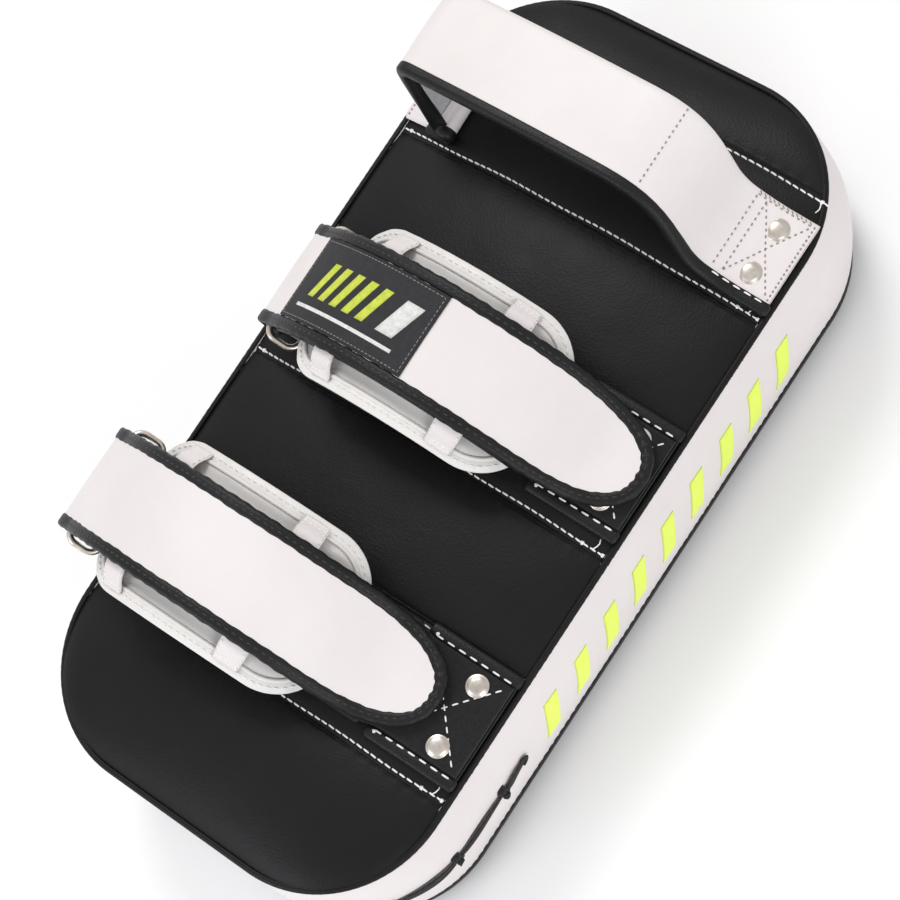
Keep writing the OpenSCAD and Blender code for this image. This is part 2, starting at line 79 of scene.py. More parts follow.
HALF_W, HALF_L = high_corner("striking_cover")[:2]
LIP_Z = high_corner("striking_cover")[2]
BAND_PROUD = 1.0
CROWN_Z = high_corner("cross_band_middle")[2] - BAND_PROUD
SEAM_Z = 78.0
CORNER_R = 58.0
BACK_CROWN = CROWN_Z - SEAM_Z
BACK_R = (HALF_W ** 2 + BACK_CROWN ** 2) / (2 * BACK_CROWN)
BACK_CENTRE_Z = CROWN_Z - BACK_R
BAND_HALF = 30.0
BAND_LINE = 28.0
BAND_YS = [(low_corner("cross_band_" + n)[1] + high_corner("cross_band_" + n)[1]) / 2
           for n in ("top", "middle", "bottom")]
BASE_LIFT = BAND_PROUD + 0.1

ARCH_R = 95.0
ARCH_Z = 36.0
FOLD_ANGLE = 51.0
LAND_ANGLE = 42.0
FOLD_SPREAD = 2.3
SPREAD_ANGLE = 6.5
STRAP_LIFT = BASE_LIFT + 2.0 + 0.1 + 1.0
FOOT_REACH = 82.0
STRAP_END_X = HALF_W - 1.5
OUTER_OUT = 4.6
OUTER_HALF = 24.5
TONGUE_LENGTH = 52.0
BLUNT = 0.82

SLIT_Z = 42.0
SLIT_START, SLIT_END = -43.0, 60.0
LACE_FIRST = 17.0
LACE_STEP = 33.0
LACE_COUNT = 3

LEATHER_THICK = 1.6
RIVET_R = 5.0
RIVET_X = 84.0
PATCH_LENGTH = 42.0

CAMERA_PLACE = [0.568, -0.109, 1.168]
CAMERA_LOOK = [-0.454, 0.0852, -0.8869]
CAMERA_DOWN = [0.4596, -0.8303, -0.3151]
CAMERA_LENS = 117.0


# ---- small helpers ----

def unit(v):
    v = np.asarray(v, float)
    return v / np.maximum(np.linalg.norm(v, axis=-1, keepdims=True), 1e-12)


def ease(t):
    t = np.clip(t, 0, 1)
    return t * t * (3 - 2 * t)


def back_z(x, lift=0.0):
    """Height of the crowned back, or of a layer that lies lift above it."""
    return BACK_CENTRE_Z + np.sqrt((BACK_R + lift) ** 2 - np.asarray(x, float) ** 2)


def ripple(x, y, size, seed):
    """Smooth unevenness between -1 and 1, the same on every run."""
    value = 0
    for k in range(5):
        a = seed * 1.7 + k * 2.4
        turn = (x * math.cos(a) + y * math.sin(a)) / size * (1 + 0.37 * k)
        value = value + np.sin(turn * 2 * math.pi + 3.1 * k + seed) / (1.6 + 0.6 * k)
    return value / 1.9


def grid_faces(n, m, start=0, flip=False, loop=False):
    """Faces over n rows of m points; loop joins each row's last point to its first."""
    i, j = np.meshgrid(np.arange(n - 1), np.arange(m if loop else m - 1), indexing="ij")
    a, b = start + i * m + j, start + i * m + (j + 1) % m
    quads = np.stack([a, b, b + m, a + m], -1).reshape(-1, 4)
    return (quads[:, ::-1] if flip else quads).tolist()


def end_caps(n, sides):
    """The two faces that close a tube of n rings."""
    return [list(range(sides))[::-1], [(n - 1) * sides + j for j in range(sides)]]


def closing_faces(n, m):
    """Faces that join the last of n looped rows to the first."""
    last = (n - 1) * m
    return [[last + j, last + (j + 1) % m, (j + 1) % m, j] for j in range(m)]


def border(n, m):
    """Point numbers round the edge of n rows of m points."""
    rim = [i * m for i in range(n)] + [(n - 1) * m + j for j in range(1, m)]
    return rim + [i * m + m - 1 for i in range(n - 2, -1, -1)] + [j for j in range(m - 2, 0, -1)]


def joined(parts):
    """Several (points, faces) as one."""
    points, faces, start = [], [], 0
    for p, f in parts:
        p = np.asarray(p, float).reshape(-1, 3)
        points.append(p)
        faces += [[k + start for k in face] for face in f]
        start += len(p)
    return np.concatenate(points), faces


def piece(name, parts, material, body=None, weld=0.0):
    """Makes one object from its parts and attaches it to the body, when one is given."""
    points, faces = joined(parts)
    mesh = bpy.data.meshes.new(name)
    mesh.from_pydata((points * MM).tolist(), [], faces)
    mesh.validate()
    if weld:
        bm = bmesh.new()
        bm.from_mesh(mesh)
        bmesh.ops.remove_doubles(bm, verts=bm.verts, dist=weld * MM)
        bm.to_mesh(mesh)
        bm.free()
    mesh.shade_smooth()
    made = bpy.data.objects.new(name, mesh)
    scene.collection.objects.link(made)
    made.data.materials.append(material)
    if body:
        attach(made, body)
    return made


def slab(mid, normal, top, bottom):
    """A closed sheet: rows of middle points and normals, and how far each side lies from them."""
    n, m = mid.shape[:2]
    top, bottom = np.broadcast_to(top, (n, m)), np.broadcast_to(bottom, (n, m))
    up, down = mid + normal * top[..., None], mid + normal * bottom[..., None]
    faces = grid_faces(n, m, flip=True) + grid_faces(n, m, start=n * m)
    rim = border(n, m)
    for a, b in zip(rim, rim[1:] + rim[:1]):
        faces.append([a, b, b + n * m, a + n * m])
    return np.concatenate([up.reshape(-1, 3), down.reshape(-1, 3)]), faces


def tube(line, normal, across, high, crease=0.0, sides=14, loop=False):
    """A tube of elliptical section: across in the surface and high along the normal.

    crease is the depth of the groove sewn into its top, as a share of its height.
    """
    line, normal = np.asarray(line, float), unit(normal)
    n = len(line)
    run = unit(np.roll(line, -1, 0) - np.roll(line, 1, 0) if loop else np.gradient(line, axis=0))
    side = unit(np.cross(run, normal))
    across, high = np.broadcast_to(across, n), np.broadcast_to(high, n)
    if not loop:
        reach, narrow = 0.6, 0.55
        first, last = line[:1] - run[:1] * high[0] * reach, line[-1:] + run[-1:] * high[-1] * reach
        line = np.concatenate([first, line, last])
        side = np.concatenate([side[:1], side, side[-1:]])
        normal = np.concatenate([normal[:1], normal, normal[-1:]])
        across = np.concatenate([across[:1] * narrow, across, across[-1:] * narrow])
        high = np.concatenate([high[:1] * narrow, high, high[-1:] * narrow])
        n += 2
    angle = np.arange(sides) * 2 * math.pi / sides
    dent = 1 - crease * np.exp(-((angle - math.pi / 2) / 0.4) ** 2)
    ring = line[:, None] + side[:, None] * (across[:, None] * np.cos(angle))[..., None]
    ring = ring + normal[:, None] * (high[:, None] * np.sin(angle) * dent)[..., None]
    faces = grid_faces(n, sides, loop=True) + (closing_faces(n, sides) if loop else end_caps(n, sides))
    return ring.reshape(-1, 3), faces


def lengths(line):
    """The running length at each point of a line."""
    return np.concatenate([[0], np.cumsum(np.linalg.norm(np.diff(line, axis=0), axis=1))])


def at_length(line, s, where):
    """Points at the running lengths where, on a line whose own running lengths are s."""
    return np.stack([np.interp(where, s, line[:, k]) for k in range(line.shape[1])], -1)


def stitches(line, normal, pitch, length, radius, sink=0.35, slant=0.0):
    """A row of sewn stitches, each a short rounded thread that dips into the material at both ends."""
    line, normal = np.asarray(line, float), np.asarray(normal, float)
    s = lengths(line)
    count = max(int((s[-1] - length) / pitch) + 1, 1)
    first = (s[-1] - (count - 1) * pitch - length) / 2
    share = np.array([0, 0.1, 0.3, 0.7, 0.9, 1.0])
    thick = np.array([0.3, 0.8, 1.0, 1.0, 0.8, 0.3])
    dip = np.array([-sink * 2, -sink * 0.6, 0.1, 0.1, -sink * 0.6, -sink * 2])
    starts = first + np.arange(count) * pitch
    where = starts[:, None] + share * length
    centre = at_length(line, s, where.ravel()).reshape(count, 6, 3)
    up = unit(at_length(normal, s, where.ravel()).reshape(count, 6, 3))
    run = unit(centre[:, -1:] - centre[:, :1])
    side = unit(np.cross(np.broadcast_to(run, centre.shape), up))
    sway = slant * (share - 0.5) * length
    centre = centre + side * sway[None, :, None] + up * (dip * radius * 2)[None, :, None]
    angle = np.arange(6) * math.pi / 3
    thick = thick[None, :, None, None]
    ring = centre[:, :, None] + side[:, :, None] * (np.cos(angle) * radius)[None, None, :, None] * thick
    ring = ring + up[:, :, None] * (np.sin(angle) * radius)[None, None, :, None] * thick
    body = grid_faces(6, 6, loop=True) + [[5, 4, 3, 2, 1, 0], [30, 31, 32, 33, 34, 35]]
    faces = [[k + 36 * i for k in face] for i in range(count) for face in body]
    return ring.reshape(-1, 3), faces


def dome(place, normal, radius, height, sides=32):
    """A domed rivet cap with a rolled rim, standing square on a surface."""
    normal = unit(normal)
    side = unit(np.cross(normal, [0, 1, 0]))
    ahead = np.cross(normal, side)
    profile = [(1.0, -0.3), (1.03, 0.1), (1.0, 0.3), (0.93, 0.42), (0.88, 0.44), (0.84, 0.5),
               (0.72, 0.72), (0.55, 0.88), (0.33, 0.97), (0.12, 1.0)]
    angle = np.arange(sides) * 2 * math.pi / sides
    points = []
    for r, h in profile:
        flat = side * np.cos(angle)[:, None] + ahead * np.sin(angle)[:, None]
        points.append(place + flat * radius * r + normal * height * h)
    faces = grid_faces(len(profile), sides, loop=True) + end_caps(len(profile), sides)
    return np.concatenate(points), faces


def rivet_cap(x, y, z, height):
    """A rivet's cap on the back, standing square on its crown."""
    return dome(np.array([x, y, z]), np.array([x / BACK_R, 0, 1]), RIVET_R, height)


def blob(place, radius, seed):
    """A thread knot: a small uneven ball."""
    rows, sides = 6, 8
    points = []
    for i in range(rows):
        lat = math.pi * (i + 0.5) / rows
        for j in range(sides):
            lon = 2 * math.pi * j / sides
            r = radius * (1 + 0.25 * math.sin(3 * lon + seed) * math.sin(2 * lat + seed))
            points.append(place + r * np.array([math.sin(lat) * math.cos(lon), math.sin(lat) * math.sin(lon),
                                                0.7 * math.cos(lat)]))
    return points, grid_faces(rows, sides, loop=True) + end_caps(rows, sides)


class Ribbon:
    """A strap's middle surface: a line in X and Z carried across along Y, centred on y."""

    def __init__(self, path, y):
        self.path = np.asarray(path, float)
        keep = np.concatenate([[True], np.linalg.norm(np.diff(self.path, axis=0), axis=1) > 1e-3])
        self.path = self.path[keep]
        self.s = lengths(self.path)
        self.length = self.s[-1]
        run = unit(np.gradient(self.path, self.s, axis=0))
        self.up = np.stack([-run[:, 1], run[:, 0]], -1)
        self.y = np.broadcast_to(np.asarray(y(self.path[:, 1]) if callable(y) else y, float), len(self.path))

    def at(self, s, v, out=0.0):
        """Points at running length s, v across and out along the normal, and their normals."""
        s, v, out = np.broadcast_arrays(np.asarray(s, float), np.asarray(v, float), np.asarray(out, float))
        xz = at_length(self.path, self.s, s.ravel()).reshape(s.shape + (2,))
        up = unit(at_length(self.up, self.s, s.ravel()).reshape(s.shape + (2,)))
        y = np.interp(s, self.s, self.y)
        normal = np.stack([up[..., 0], np.zeros(s.shape), up[..., 1]], -1)
        points = np.stack([xz[..., 0], y + v, xz[..., 1]], -1) + normal * out[..., None]
        return points, normal

    def s_at_x(self, x, after=0.5):
        """Where the line passes x in its last stretch, which runs towards +X."""
        start = int(len(self.path) * after)
        return np.interp(x, self.path[start:, 0], self.s[start:])


def soft_edge(v, half, radius):
    """1 inside a strap, falling round to a thin edge over the given radius."""
    d = np.clip((half - np.abs(v)) / radius, 0, 1)
    return np.sqrt(np.maximum(1 - (1 - d) ** 2, 0.02))


def strap_slab(ribbon, s, half, top, bottom, columns=22, crown=0.0, radius=0.9):
    """A strap between running lengths s, with rounded edges and a slight crown across."""
    share = np.sin(np.linspace(-1, 1, columns) * math.pi / 2)
    half = np.broadcast_to(half, len(s))
    v = half[:, None] * share
    mid, normal = ribbon.at(np.broadcast_to(np.asarray(s)[:, None], v.shape), v)
    edge = soft_edge(v, np.maximum(half, 0.01)[:, None], radius)
    centre, thick = (top + bottom) / 2, (top - bottom) / 2
    lift = crown * (1 - share ** 2)
    centre = np.broadcast_to(np.reshape(centre, (-1, 1)), v.shape)
    thick = np.broadcast_to(np.reshape(thick, (-1, 1)), v.shape)
    return slab(mid, normal, centre + lift + thick * edge, centre + lift - thick * edge)


# ---- materials ----

def new_material(name, color, roughness, **sockets):
    """A principled material, and its nodes, links, shader and object coordinates."""
    material = bpy.data.materials.new(name)
    material.use_nodes = True
    nodes, links = material.node_tree.nodes, material.node_tree.links
    shader = nodes["Principled BSDF"]
    shader.inputs["Base Color"].default_value = (*color, 1)
    shader.inputs["Roughness"].default_value = roughness
    for socket, value in sockets.items():
        shader.inputs[socket.replace("_", " ")].default_value = value
    place = nodes.new("ShaderNodeTexCoord").outputs["Object"]
    return material, nodes, links, shader, place


def add_node(nodes, kind, **inputs):
    made = nodes.new(kind)
    for key, value in inputs.items():
        made.inputs[key].default_value = value
    return made


def noise(nodes, links, place, scale, detail, roughness=0.5):
    """The output of a noise texture."""
    texture = add_node(nodes, "ShaderNodeTexNoise", Scale=scale, Detail=detail, Roughness=roughness)
    links.new(place, texture.inputs["Vector"])
    return texture.outputs["Fac"]


def vary_color(nodes, links, shader, place, dark, light, scale, detail=4.0):
    """Base colour drifting between two shades."""
    ramp = nodes.new("ShaderNodeValToRGB")
    ramp.color_ramp.elements[0].position, ramp.color_ramp.elements[1].position = 0.3, 0.7
    ramp.color_ramp.elements[0].color, ramp.color_ramp.elements[1].color = (*dark, 1), (*light, 1)
    links.new(noise(nodes, links, place, scale, detail, 0.6), ramp.inputs["Fac"])
    links.new(ramp.outputs["Color"], shader.inputs["Base Color"])


def vary_roughness(nodes, links, shader, place, low, high, scale):
    """Roughness drifting between low and high."""
    span = nodes.new("ShaderNodeMapRange")
    span.inputs["To Min"].default_value, span.inputs["To Max"].default_value = low, high
    links.new(noise(nodes, links, place, scale, 3.0), span.inputs["Value"])
    links.new(span.outputs["Result"], shader.inputs["Roughness"])


def bump_chain(nodes, links, shader, heights):
    """Bumps stacked on each other: (height output, strength, distance in metres) each."""
    last = None
    for height, strength, distance in heights:
        bump = add_node(nodes, "ShaderNodeBump", Strength=strength, Distance=distance)
        links.new(height, bump.inputs["Height"])
        if last:
            links.new(last.outputs["Normal"], bump.inputs["Normal"])
        last = bump
    links.new(last.outputs["Normal"], shader.inputs["Normal"])


def leather(name, dark, light, roughness, grain=950.0, grain_strength=0.35, **sockets):
    """Coated leather: cells of grain, fine pores, slow unevenness and a little wear in the gloss."""
    material, nodes, links, shader, place = new_material(name, light, roughness[0], **sockets)
    vary_color(nodes, links, shader, place, dark, light, 14.0)
    vary_roughness(nodes, links, shader, place, roughness[0], roughness[1], 38.0)
    cells = nodes.new("ShaderNodeTexVoronoi")
    cells.feature = "SMOOTH_F1"
    cells.inputs["Scale"].default_value = grain
    cells.inputs["Smoothness"].default_value = 0.35
    links.new(place, cells.inputs["Vector"])
    bump_chain(nodes, links, shader, [
        (noise(nodes, links, place, 70.0, 2.0), 0.25, 0.0009),
        (cells.outputs["Distance"], grain_strength, 0.00022),
        (noise(nodes, links, place, grain * 2.4, 5.0, 0.6), grain_strength * 0.6, 0.00008),
    ])
    return material


def woven(name, dark, light, thread=0.0006, depth=0.5, roughness=0.85, **sockets):
    """Flat woven cloth: crossing threads made by two wave textures."""
    material, nodes, links, shader, place = new_material(name, light, roughness, **sockets)
    vary_color(nodes, links, shader, place, dark, light, 400.0)
    waves = []
    for direction in ("X", "Y"):
        wave = nodes.new("ShaderNodeTexWave")
        wave.bands_direction = direction
        wave.inputs["Scale"].default_value = 0.3142 / thread
        wave.inputs["Distortion"].default_value = 0.6
        wave.inputs["Detail"].default_value = 1.0
        links.new(place, wave.inputs["Vector"])
        waves.append(wave)
    cross = nodes.new("ShaderNodeMath")
    cross.operation = "MULTIPLY"
    links.new(waves[0].outputs["Fac"], cross.inputs[0])
    links.new(waves[1].outputs["Fac"], cross.inputs[1])
    bump_chain(nodes, links, shader, [(cross.outputs["Value"], depth, 0.0002)])
    return material


def loop_pile(name, dark, light):
    """The fuzzy face of hook-and-loop tape."""
    material, nodes, links, shader, place = new_material(
        name, light, 0.95, Sheen_Weight=0.2, Sheen_Roughness=0.5, Sheen_Tint=(0.5, 0.5, 0.52, 1))
    vary_color(nodes, links, shader, place, dark, light, 700.0, detail=8.0)
    tufts = noise(nodes, links, place, 210.0, 3.0)
    fuzz = noise(nodes, links, place, 900.0, 8.0, 0.75)
    bump_chain(nodes, links, shader, [(tufts, 0.6, 0.0008), (fuzz, 0.9, 0.0005)])
    return material


def metal(name, dark, light, roughness):
    """Nickel plating with fine scratches and a few dull spots."""
    material, nodes, links, shader, place = new_material(name, light, roughness[0], Metallic=1.0)
    vary_color(nodes, links, shader, place, dark, light, 260.0)
    vary_roughness(nodes, links, shader, place, roughness[0], roughness[1], 420.0)
    bump_chain(nodes, links, shader, [(noise(nodes, links, place, 1500.0, 6.0), 0.12, 0.00008)])
    return material


def thread(name, dark, light):
    """Sewing thread: twisted fibres."""
    material, nodes, links, shader, place = new_material(name, light, 0.7, Sheen_Weight=0.2)
    vary_color(nodes, links, shader, place, dark, light, 900.0)
    bump_chain(nodes, links, shader, [(noise(nodes, links, place, 3000.0, 3.0), 0.4, 0.0001)])
    return material


BLACK = leather("black_leather", (0.006, 0.0052, 0.0056), (0.0095, 0.0083, 0.0092), (0.4, 0.52),
                Specular_IOR_Level=0.2)
WHITE = leather("white_leather", (0.74, 0.685, 0.68), (0.79, 0.745, 0.74), (0.42, 0.55), grain=1100.0,
                grain_strength=0.2, Specular_IOR_Level=0.4)
VINYL = leather("cushion_vinyl", (0.74, 0.715, 0.69), (0.80, 0.775, 0.755), (0.36, 0.48), grain=1300.0,
                grain_strength=0.14)
BINDING = leather("black_binding", (0.0045, 0.0045, 0.005), (0.012, 0.0115, 0.013), (0.34, 0.48),
                  grain=1500.0, grain_strength=0.5, Specular_IOR_Level=0.28)
LOOP = loop_pile("loop_fabric", (0.0022, 0.0022, 0.0023), (0.010, 0.010, 0.0105))
WEBBING = woven("black_webbing", (0.008, 0.008, 0.009), (0.03, 0.027, 0.028), thread=0.0009)
LABEL = woven("woven_label", (0.01, 0.01, 0.012), (0.02, 0.02, 0.024), thread=0.0005, roughness=0.7)
LIME = leather("lime_print", (0.75, 0.93, 0.10), (0.86, 1.0, 0.14), (0.45, 0.6), grain=1100.0,
               grain_strength=0.12)
LIME_THREAD = woven("lime_thread", (0.50, 0.58, 0.05), (0.66, 0.74, 0.08), thread=0.0005, roughness=0.7)
WHITE_WEAVE = woven("white_weave", (0.60, 0.60, 0.58), (0.82, 0.82, 0.80), thread=0.0005, roughness=0.7)
GREY = woven("grey_lining", (0.42, 0.42, 0.43), (0.52, 0.52, 0.53), thread=0.0007, depth=0.3)
NICKEL = metal("nickel_steel", (0.55, 0.49, 0.43), (0.80, 0.74, 0.68), (0.22, 0.42))
WHITE_THREAD = thread("white_thread", (0.78, 0.77, 0.75), (0.95, 0.94, 0.92))
GREY_THREAD = thread("grey_thread", (0.16, 0.13, 0.12), (0.34, 0.29, 0.27))
BLACK_THREAD = thread("black_thread", (0.006, 0.006, 0.007), (0.03, 0.03, 0.033))
FOAM = woven("foam", (0.25, 0.29, 0.33), (0.4, 0.45, 0.5), thread=0.002, depth=0.2)


# ---- body of the pad ----

def edge_distance(x, y):
    """How far inside the pad's rounded outline a point lies."""
    qx, qy = np.abs(x) - (HALF_W - CORNER_R), np.abs(y) - (HALF_L - CORNER_R)
    outside = np.hypot(np.maximum(qx, 0), np.maximum(qy, 0)) + np.minimum(np.maximum(qx, qy), 0)
    return CORNER_R - outside


def half_width_at(y):
    """Half the pad's width at y, less towards its rounded ends."""
    past = np.clip(np.abs(y) - (HALF_L - CORNER_R), 0, CORNER_R)
    return HALF_W - CORNER_R + np.sqrt(np.maximum(CORNER_R ** 2 - past ** 2, 0))


def back_height(x, y, swell):
    """The leather of the back: the crowned back, eased down to its seam and quilted by swell."""
    inside = np.maximum(edge_distance(x, y), 0)
    end = 1 - (1 - np.clip((HALF_L - np.abs(y)) / 58, 0, 1)) ** 2.4
    rise = (back_z(x) - SEAM_Z) * end
    roll = 1 - np.exp(-inside / 5)
    uneven = 0.22 * ripple(x, y, 61, 1.3) * (1 - np.exp(-inside / 16))
    return SEAM_Z + rise + (1.3 + swell) * roll + uneven


def panel_swell(y0, y1):
    """A panel puffs up between the two seams at y0 and y1."""
    def swell(x, y):
        near = np.minimum(y - y0, y1 - y)
        pucker = 0.25 * np.cos(x * 2 * math.pi / 7.6) * np.exp(-near / 2.2)
        return 1.1 - 2.3 * np.exp(-near / 9) + pucker
    return swell


def band_swell(centre):
    """A band lies nearly flat, pulled down along its two stitch lines."""
    def swell(x, y):
        near = np.abs(np.abs(y - centre) - BAND_LINE)
        pucker = 0.16 * np.cos(x * 2 * math.pi / 3.8) * np.exp(-near / 1.6)
        return -0.35 - 0.85 * np.exp(-near / 2.6) + pucker
    return swell


def back_piece(name, y0, y1, swell):
    """One piece of the back's leather between y0 and y1."""
    rows = max(int((y1 - y0) / 1.1), 12)
    y = np.linspace(y0, y1, rows)
    for end in (-1, 1):
        if (y1 if end > 0 else -y0) > HALF_L - 1:
            past = HALF_L - CORNER_R
            inner = y0 if end > 0 else -y1
            turn = np.linspace(math.asin(max((inner - past) / CORNER_R, 0)), math.pi / 2 - 0.02, rows)
            straight = np.linspace(inner, past, 8)[:-1] if inner < past - 1 else np.array([])
            y = np.sort(end * np.concatenate([straight, past + CORNER_R * np.sin(turn)]))
    share = np.sin(np.linspace(-1, 1, 110) * math.pi / 2)
    share = 0.55 * share + 0.45 * np.linspace(-1, 1, 110)
    x = half_width_at(y)[:, None] * share
    yy = np.broadcast_to(y[:, None], x.shape)
    mid = np.stack([x, yy, back_height(x, yy, swell(x, yy))], -1)
    normal = surface_normals(mid)
    rim = np.clip(np.minimum(yy - y0, y1 - yy) / 1.2, 0, 1)
    top = np.where(np.abs(yy) > HALF_L - 60, 0, -0.9 * (1 - np.sqrt(1 - (1 - rim) ** 2)))
    return piece(name, [slab(mid, normal, top, top - LEATHER_THICK)], BLACK, "pad")


def surface_normals(mid):
    """Normals of a grid of points, turned so that none points down."""
    normal = np.cross(np.gradient(mid, axis=1), np.gradient(mid, axis=0))
    normal = unit(normal)
    return np.where(normal[..., 2:] < 0, -normal, normal)


def back_filling():
    """The foam under the back's leather, shaped like it."""
    y = (HALF_L - 4) * np.sin(np.linspace(-1, 1, 90) * math.pi / 2)
    x = (half_width_at(y) - 3.5)[:, None] * np.sin(np.linspace(-1, 1, 40) * math.pi / 2)
    yy = np.broadcast_to(y[:, None], x.shape)
    top = np.minimum(back_height(x, yy, -1.2) - 2.4, back_z(x) - 2.6)
    mid = np.stack([x, yy, np.full(x.shape, low_corner("back_foam")[2])], -1)
    up = np.zeros(mid.shape)
    up[..., 2] = 1
    made = piece("back_filling", [slab(mid, up, top - mid[..., 2], 0.0)], FOAM, "pad")
    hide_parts("back_foam")


def pad_back():
    """Four quilted panels and the three bands between them."""
    edges = [HALF_L] + [e for y in BAND_YS for e in (y + BAND_HALF, y - BAND_HALF)] + [-HALF_L]
    for k, name in enumerate(("top", "upper", "lower", "bottom")):
        high, low = edges[2 * k], edges[2 * k + 1]
        seam_high, seam_low = (high + 40 if k == 0 else high), (low - 40 if k == 3 else low)
        made = back_piece("back_" + name + "_leather", low, high, panel_swell(seam_low, seam_high))
        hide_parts("back_panel_" + name)
    for name, y in zip(("top", "middle", "bottom"), BAND_YS):
        made = back_piece("band_" + name, y - BAND_HALF, y + BAND_HALF, band_swell(y))
        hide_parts("cross_band_" + name)


def on_back(x, y, lift=0.0):
    """Points and normals on the bands' leather, as the stitch lines need them."""
    x, y = np.broadcast_arrays(np.asarray(x, float), np.asarray(y, float))
    centre = min(BAND_YS, key=lambda c: abs(c - float(np.mean(y))))
    swell = band_swell(centre)
    step = 0.5
    z = back_height(x, y, swell(x, y))
    slope = (back_height(x + step, y, swell(x, y)) - z) / step
    normal = unit(np.stack([-slope, np.zeros(x.shape), np.ones(x.shape)], -1))
    return np.stack([x, y, z], -1) + normal * lift, normal


THREAD_TAIL = np.array([[0, 0, 0], [1.2, -1.6, 0.4], [1.6, -3.4, 0.3], [0.9, -5.2, 0.2]])


def back_stitching():
    """White stitch lines along the bands, with knots at their ends and a loose tail on the right."""
    rows, knots = [], []
    for k, centre in enumerate(BAND_YS):
        for side in (-1, 1):
            x = np.linspace(-HALF_W + 2, HALF_W - 2, 240)
            wander = 0.25 * np.sin(x / 9 + k * 2 + side)
            line, normal = on_back(x, centre + side * BAND_LINE + wander, 0.28)
            rows.append(stitches(line, normal, 3.7, 3.3, 0.42, slant=0.08))
            for end in (6, -14, -2) if side < 0 else (-7, 3):
                knots.append(blob(line[end] + normal[end] * 0.3, 0.95, k + end))
            tail = line[-8] + THREAD_TAIL * [1, side, 1]
            rows.append(tube(tail, np.tile(normal[-8], (4, 1)), 0.28, 0.28, sides=6))
    piece("back_stitching", rows + knots, WHITE_THREAD, "pad")


# ---- wall ----

CORNER_LENGTH = CORNER_R * math.pi / 2
STRAIGHT_Y = 2 * (HALF_L - CORNER_R)
STRAIGHT_X = 2 * (HALF_W - CORNER_R)
PERIMETER = 2 * STRAIGHT_Y + 2 * STRAIGHT_X + 4 * CORNER_LENGTH


def compass(heading):
    """Directions along a heading in degrees, and to its left."""
    a = math.radians(heading)
    return np.array([math.cos(a), math.sin(a)]), np.array([-math.sin(a), math.cos(a)])


def wall_spot(u):
    """Places along the wall and their outward directions.

    u = 0 is where the right wall meets the bottom right corner, and u grows towards the bottom wall.
    """
    u = (np.asarray(u, float) + STRAIGHT_Y) % PERIMETER
    place, out = np.zeros(u.shape + (2,)), np.zeros(u.shape + (2,))
    start = np.array([HALF_W, HALF_L - CORNER_R])
    heading, begin = -90.0, 0.0
    for k in range(8):
        straight = k % 2 == 0
        length = (STRAIGHT_Y if k % 4 == 0 else STRAIGHT_X) if straight else CORNER_LENGTH
        inside = (u >= begin - 1e-9) & (u <= begin + length + 1e-9)
        t = np.clip(u - begin, 0, length)
        turn = np.radians(heading - (0 if straight else 1) * np.degrees(t / CORNER_R))
        away = np.stack([-np.sin(turn), np.cos(turn)], -1)
        ahead, side = compass(heading)
        if straight:
            spot = start + t[..., None] * ahead
            finish = start + length * ahead
        else:
            centre = start - CORNER_R * side
            spot = centre + CORNER_R * away
            heading -= 90
            finish = centre + CORNER_R * compass(heading)[1]
        place = np.where(inside[..., None], spot, place)
        out = np.where(inside[..., None], away, out)
        start, begin = finish, begin + length
    return place, out


def round_wall(n):
    """n - 1 even steps once round the wall."""
    return np.linspace(-STRAIGHT_Y, PERIMETER - STRAIGHT_Y, n)[:-1]


def beside_outline(place, away, out, z):
    """Points that stand out from places on the outline, at height z."""
    flat = place + away * np.asarray(out)[..., None]
    return np.concatenate([flat, np.broadcast_to(z, flat.shape[:-1])[..., None]], -1)


WALL_TUCK = 4.5


def wall_bulge(u, z):
    """How far the filled wall stands out from its straight section."""
    t = np.clip((z - LIP_Z) / (SEAM_Z - LIP_Z), 0, 1)
    swell = 3.0 * np.sin(math.pi * t) ** 0.8 - WALL_TUCK * (1 - t) ** 3
    gathers = np.exp(-(SEAM_Z - z) / 2.4) + 0.6 * np.exp(-(z - LIP_Z) / 2.4)
    pucker = 0.22 * np.cos(u * 2 * math.pi / 4.2) * gathers
    reach = 16
    from_start, from_end = ease((u - SLIT_START + reach) / reach), ease((SLIT_END + reach - u) / reach)
    pinch = -1.1 * np.exp(-((z - SLIT_Z) / 9) ** 2) * from_start * from_end
    return swell + pucker + pinch + 0.75 * ripple(u, z, 83, 2.1) * np.sin(math.pi * t)


def on_wall(u, z, out=0.0):
    """Points and normals on the filled wall, or out from it."""
    u, z = np.broadcast_arrays(np.asarray(u, float), np.asarray(z, float))
    place, away = wall_spot(u)
    stand = wall_bulge(u, z) + out
    points = beside_outline(place, away, stand, z)
    tilt = wall_bulge(u, z + 0.5) - wall_bulge(u, z - 0.5)
    normal = unit(np.stack([away[..., 0], away[..., 1], -tilt], -1))
    return points, normal


def slit_gap(u):
    """Half of the slit's opening: it gapes between the places where the lace ties it."""
    t = np.clip((u - SLIT_START) / (SLIT_END - SLIT_START), 0, 1)
    tied = min_distance(u, [lace_u(i) for i in range(LACE_COUNT)])
    between = np.sin(np.clip(tied / LACE_STEP, 0, 0.5) * math.pi) ** 0.8
    return 2.3 * np.sin(math.pi * t) ** 0.4 * (0.3 + 0.7 * between)


def min_distance(u, places):
    return np.min([np.abs(u - p) for p in places], axis=0)


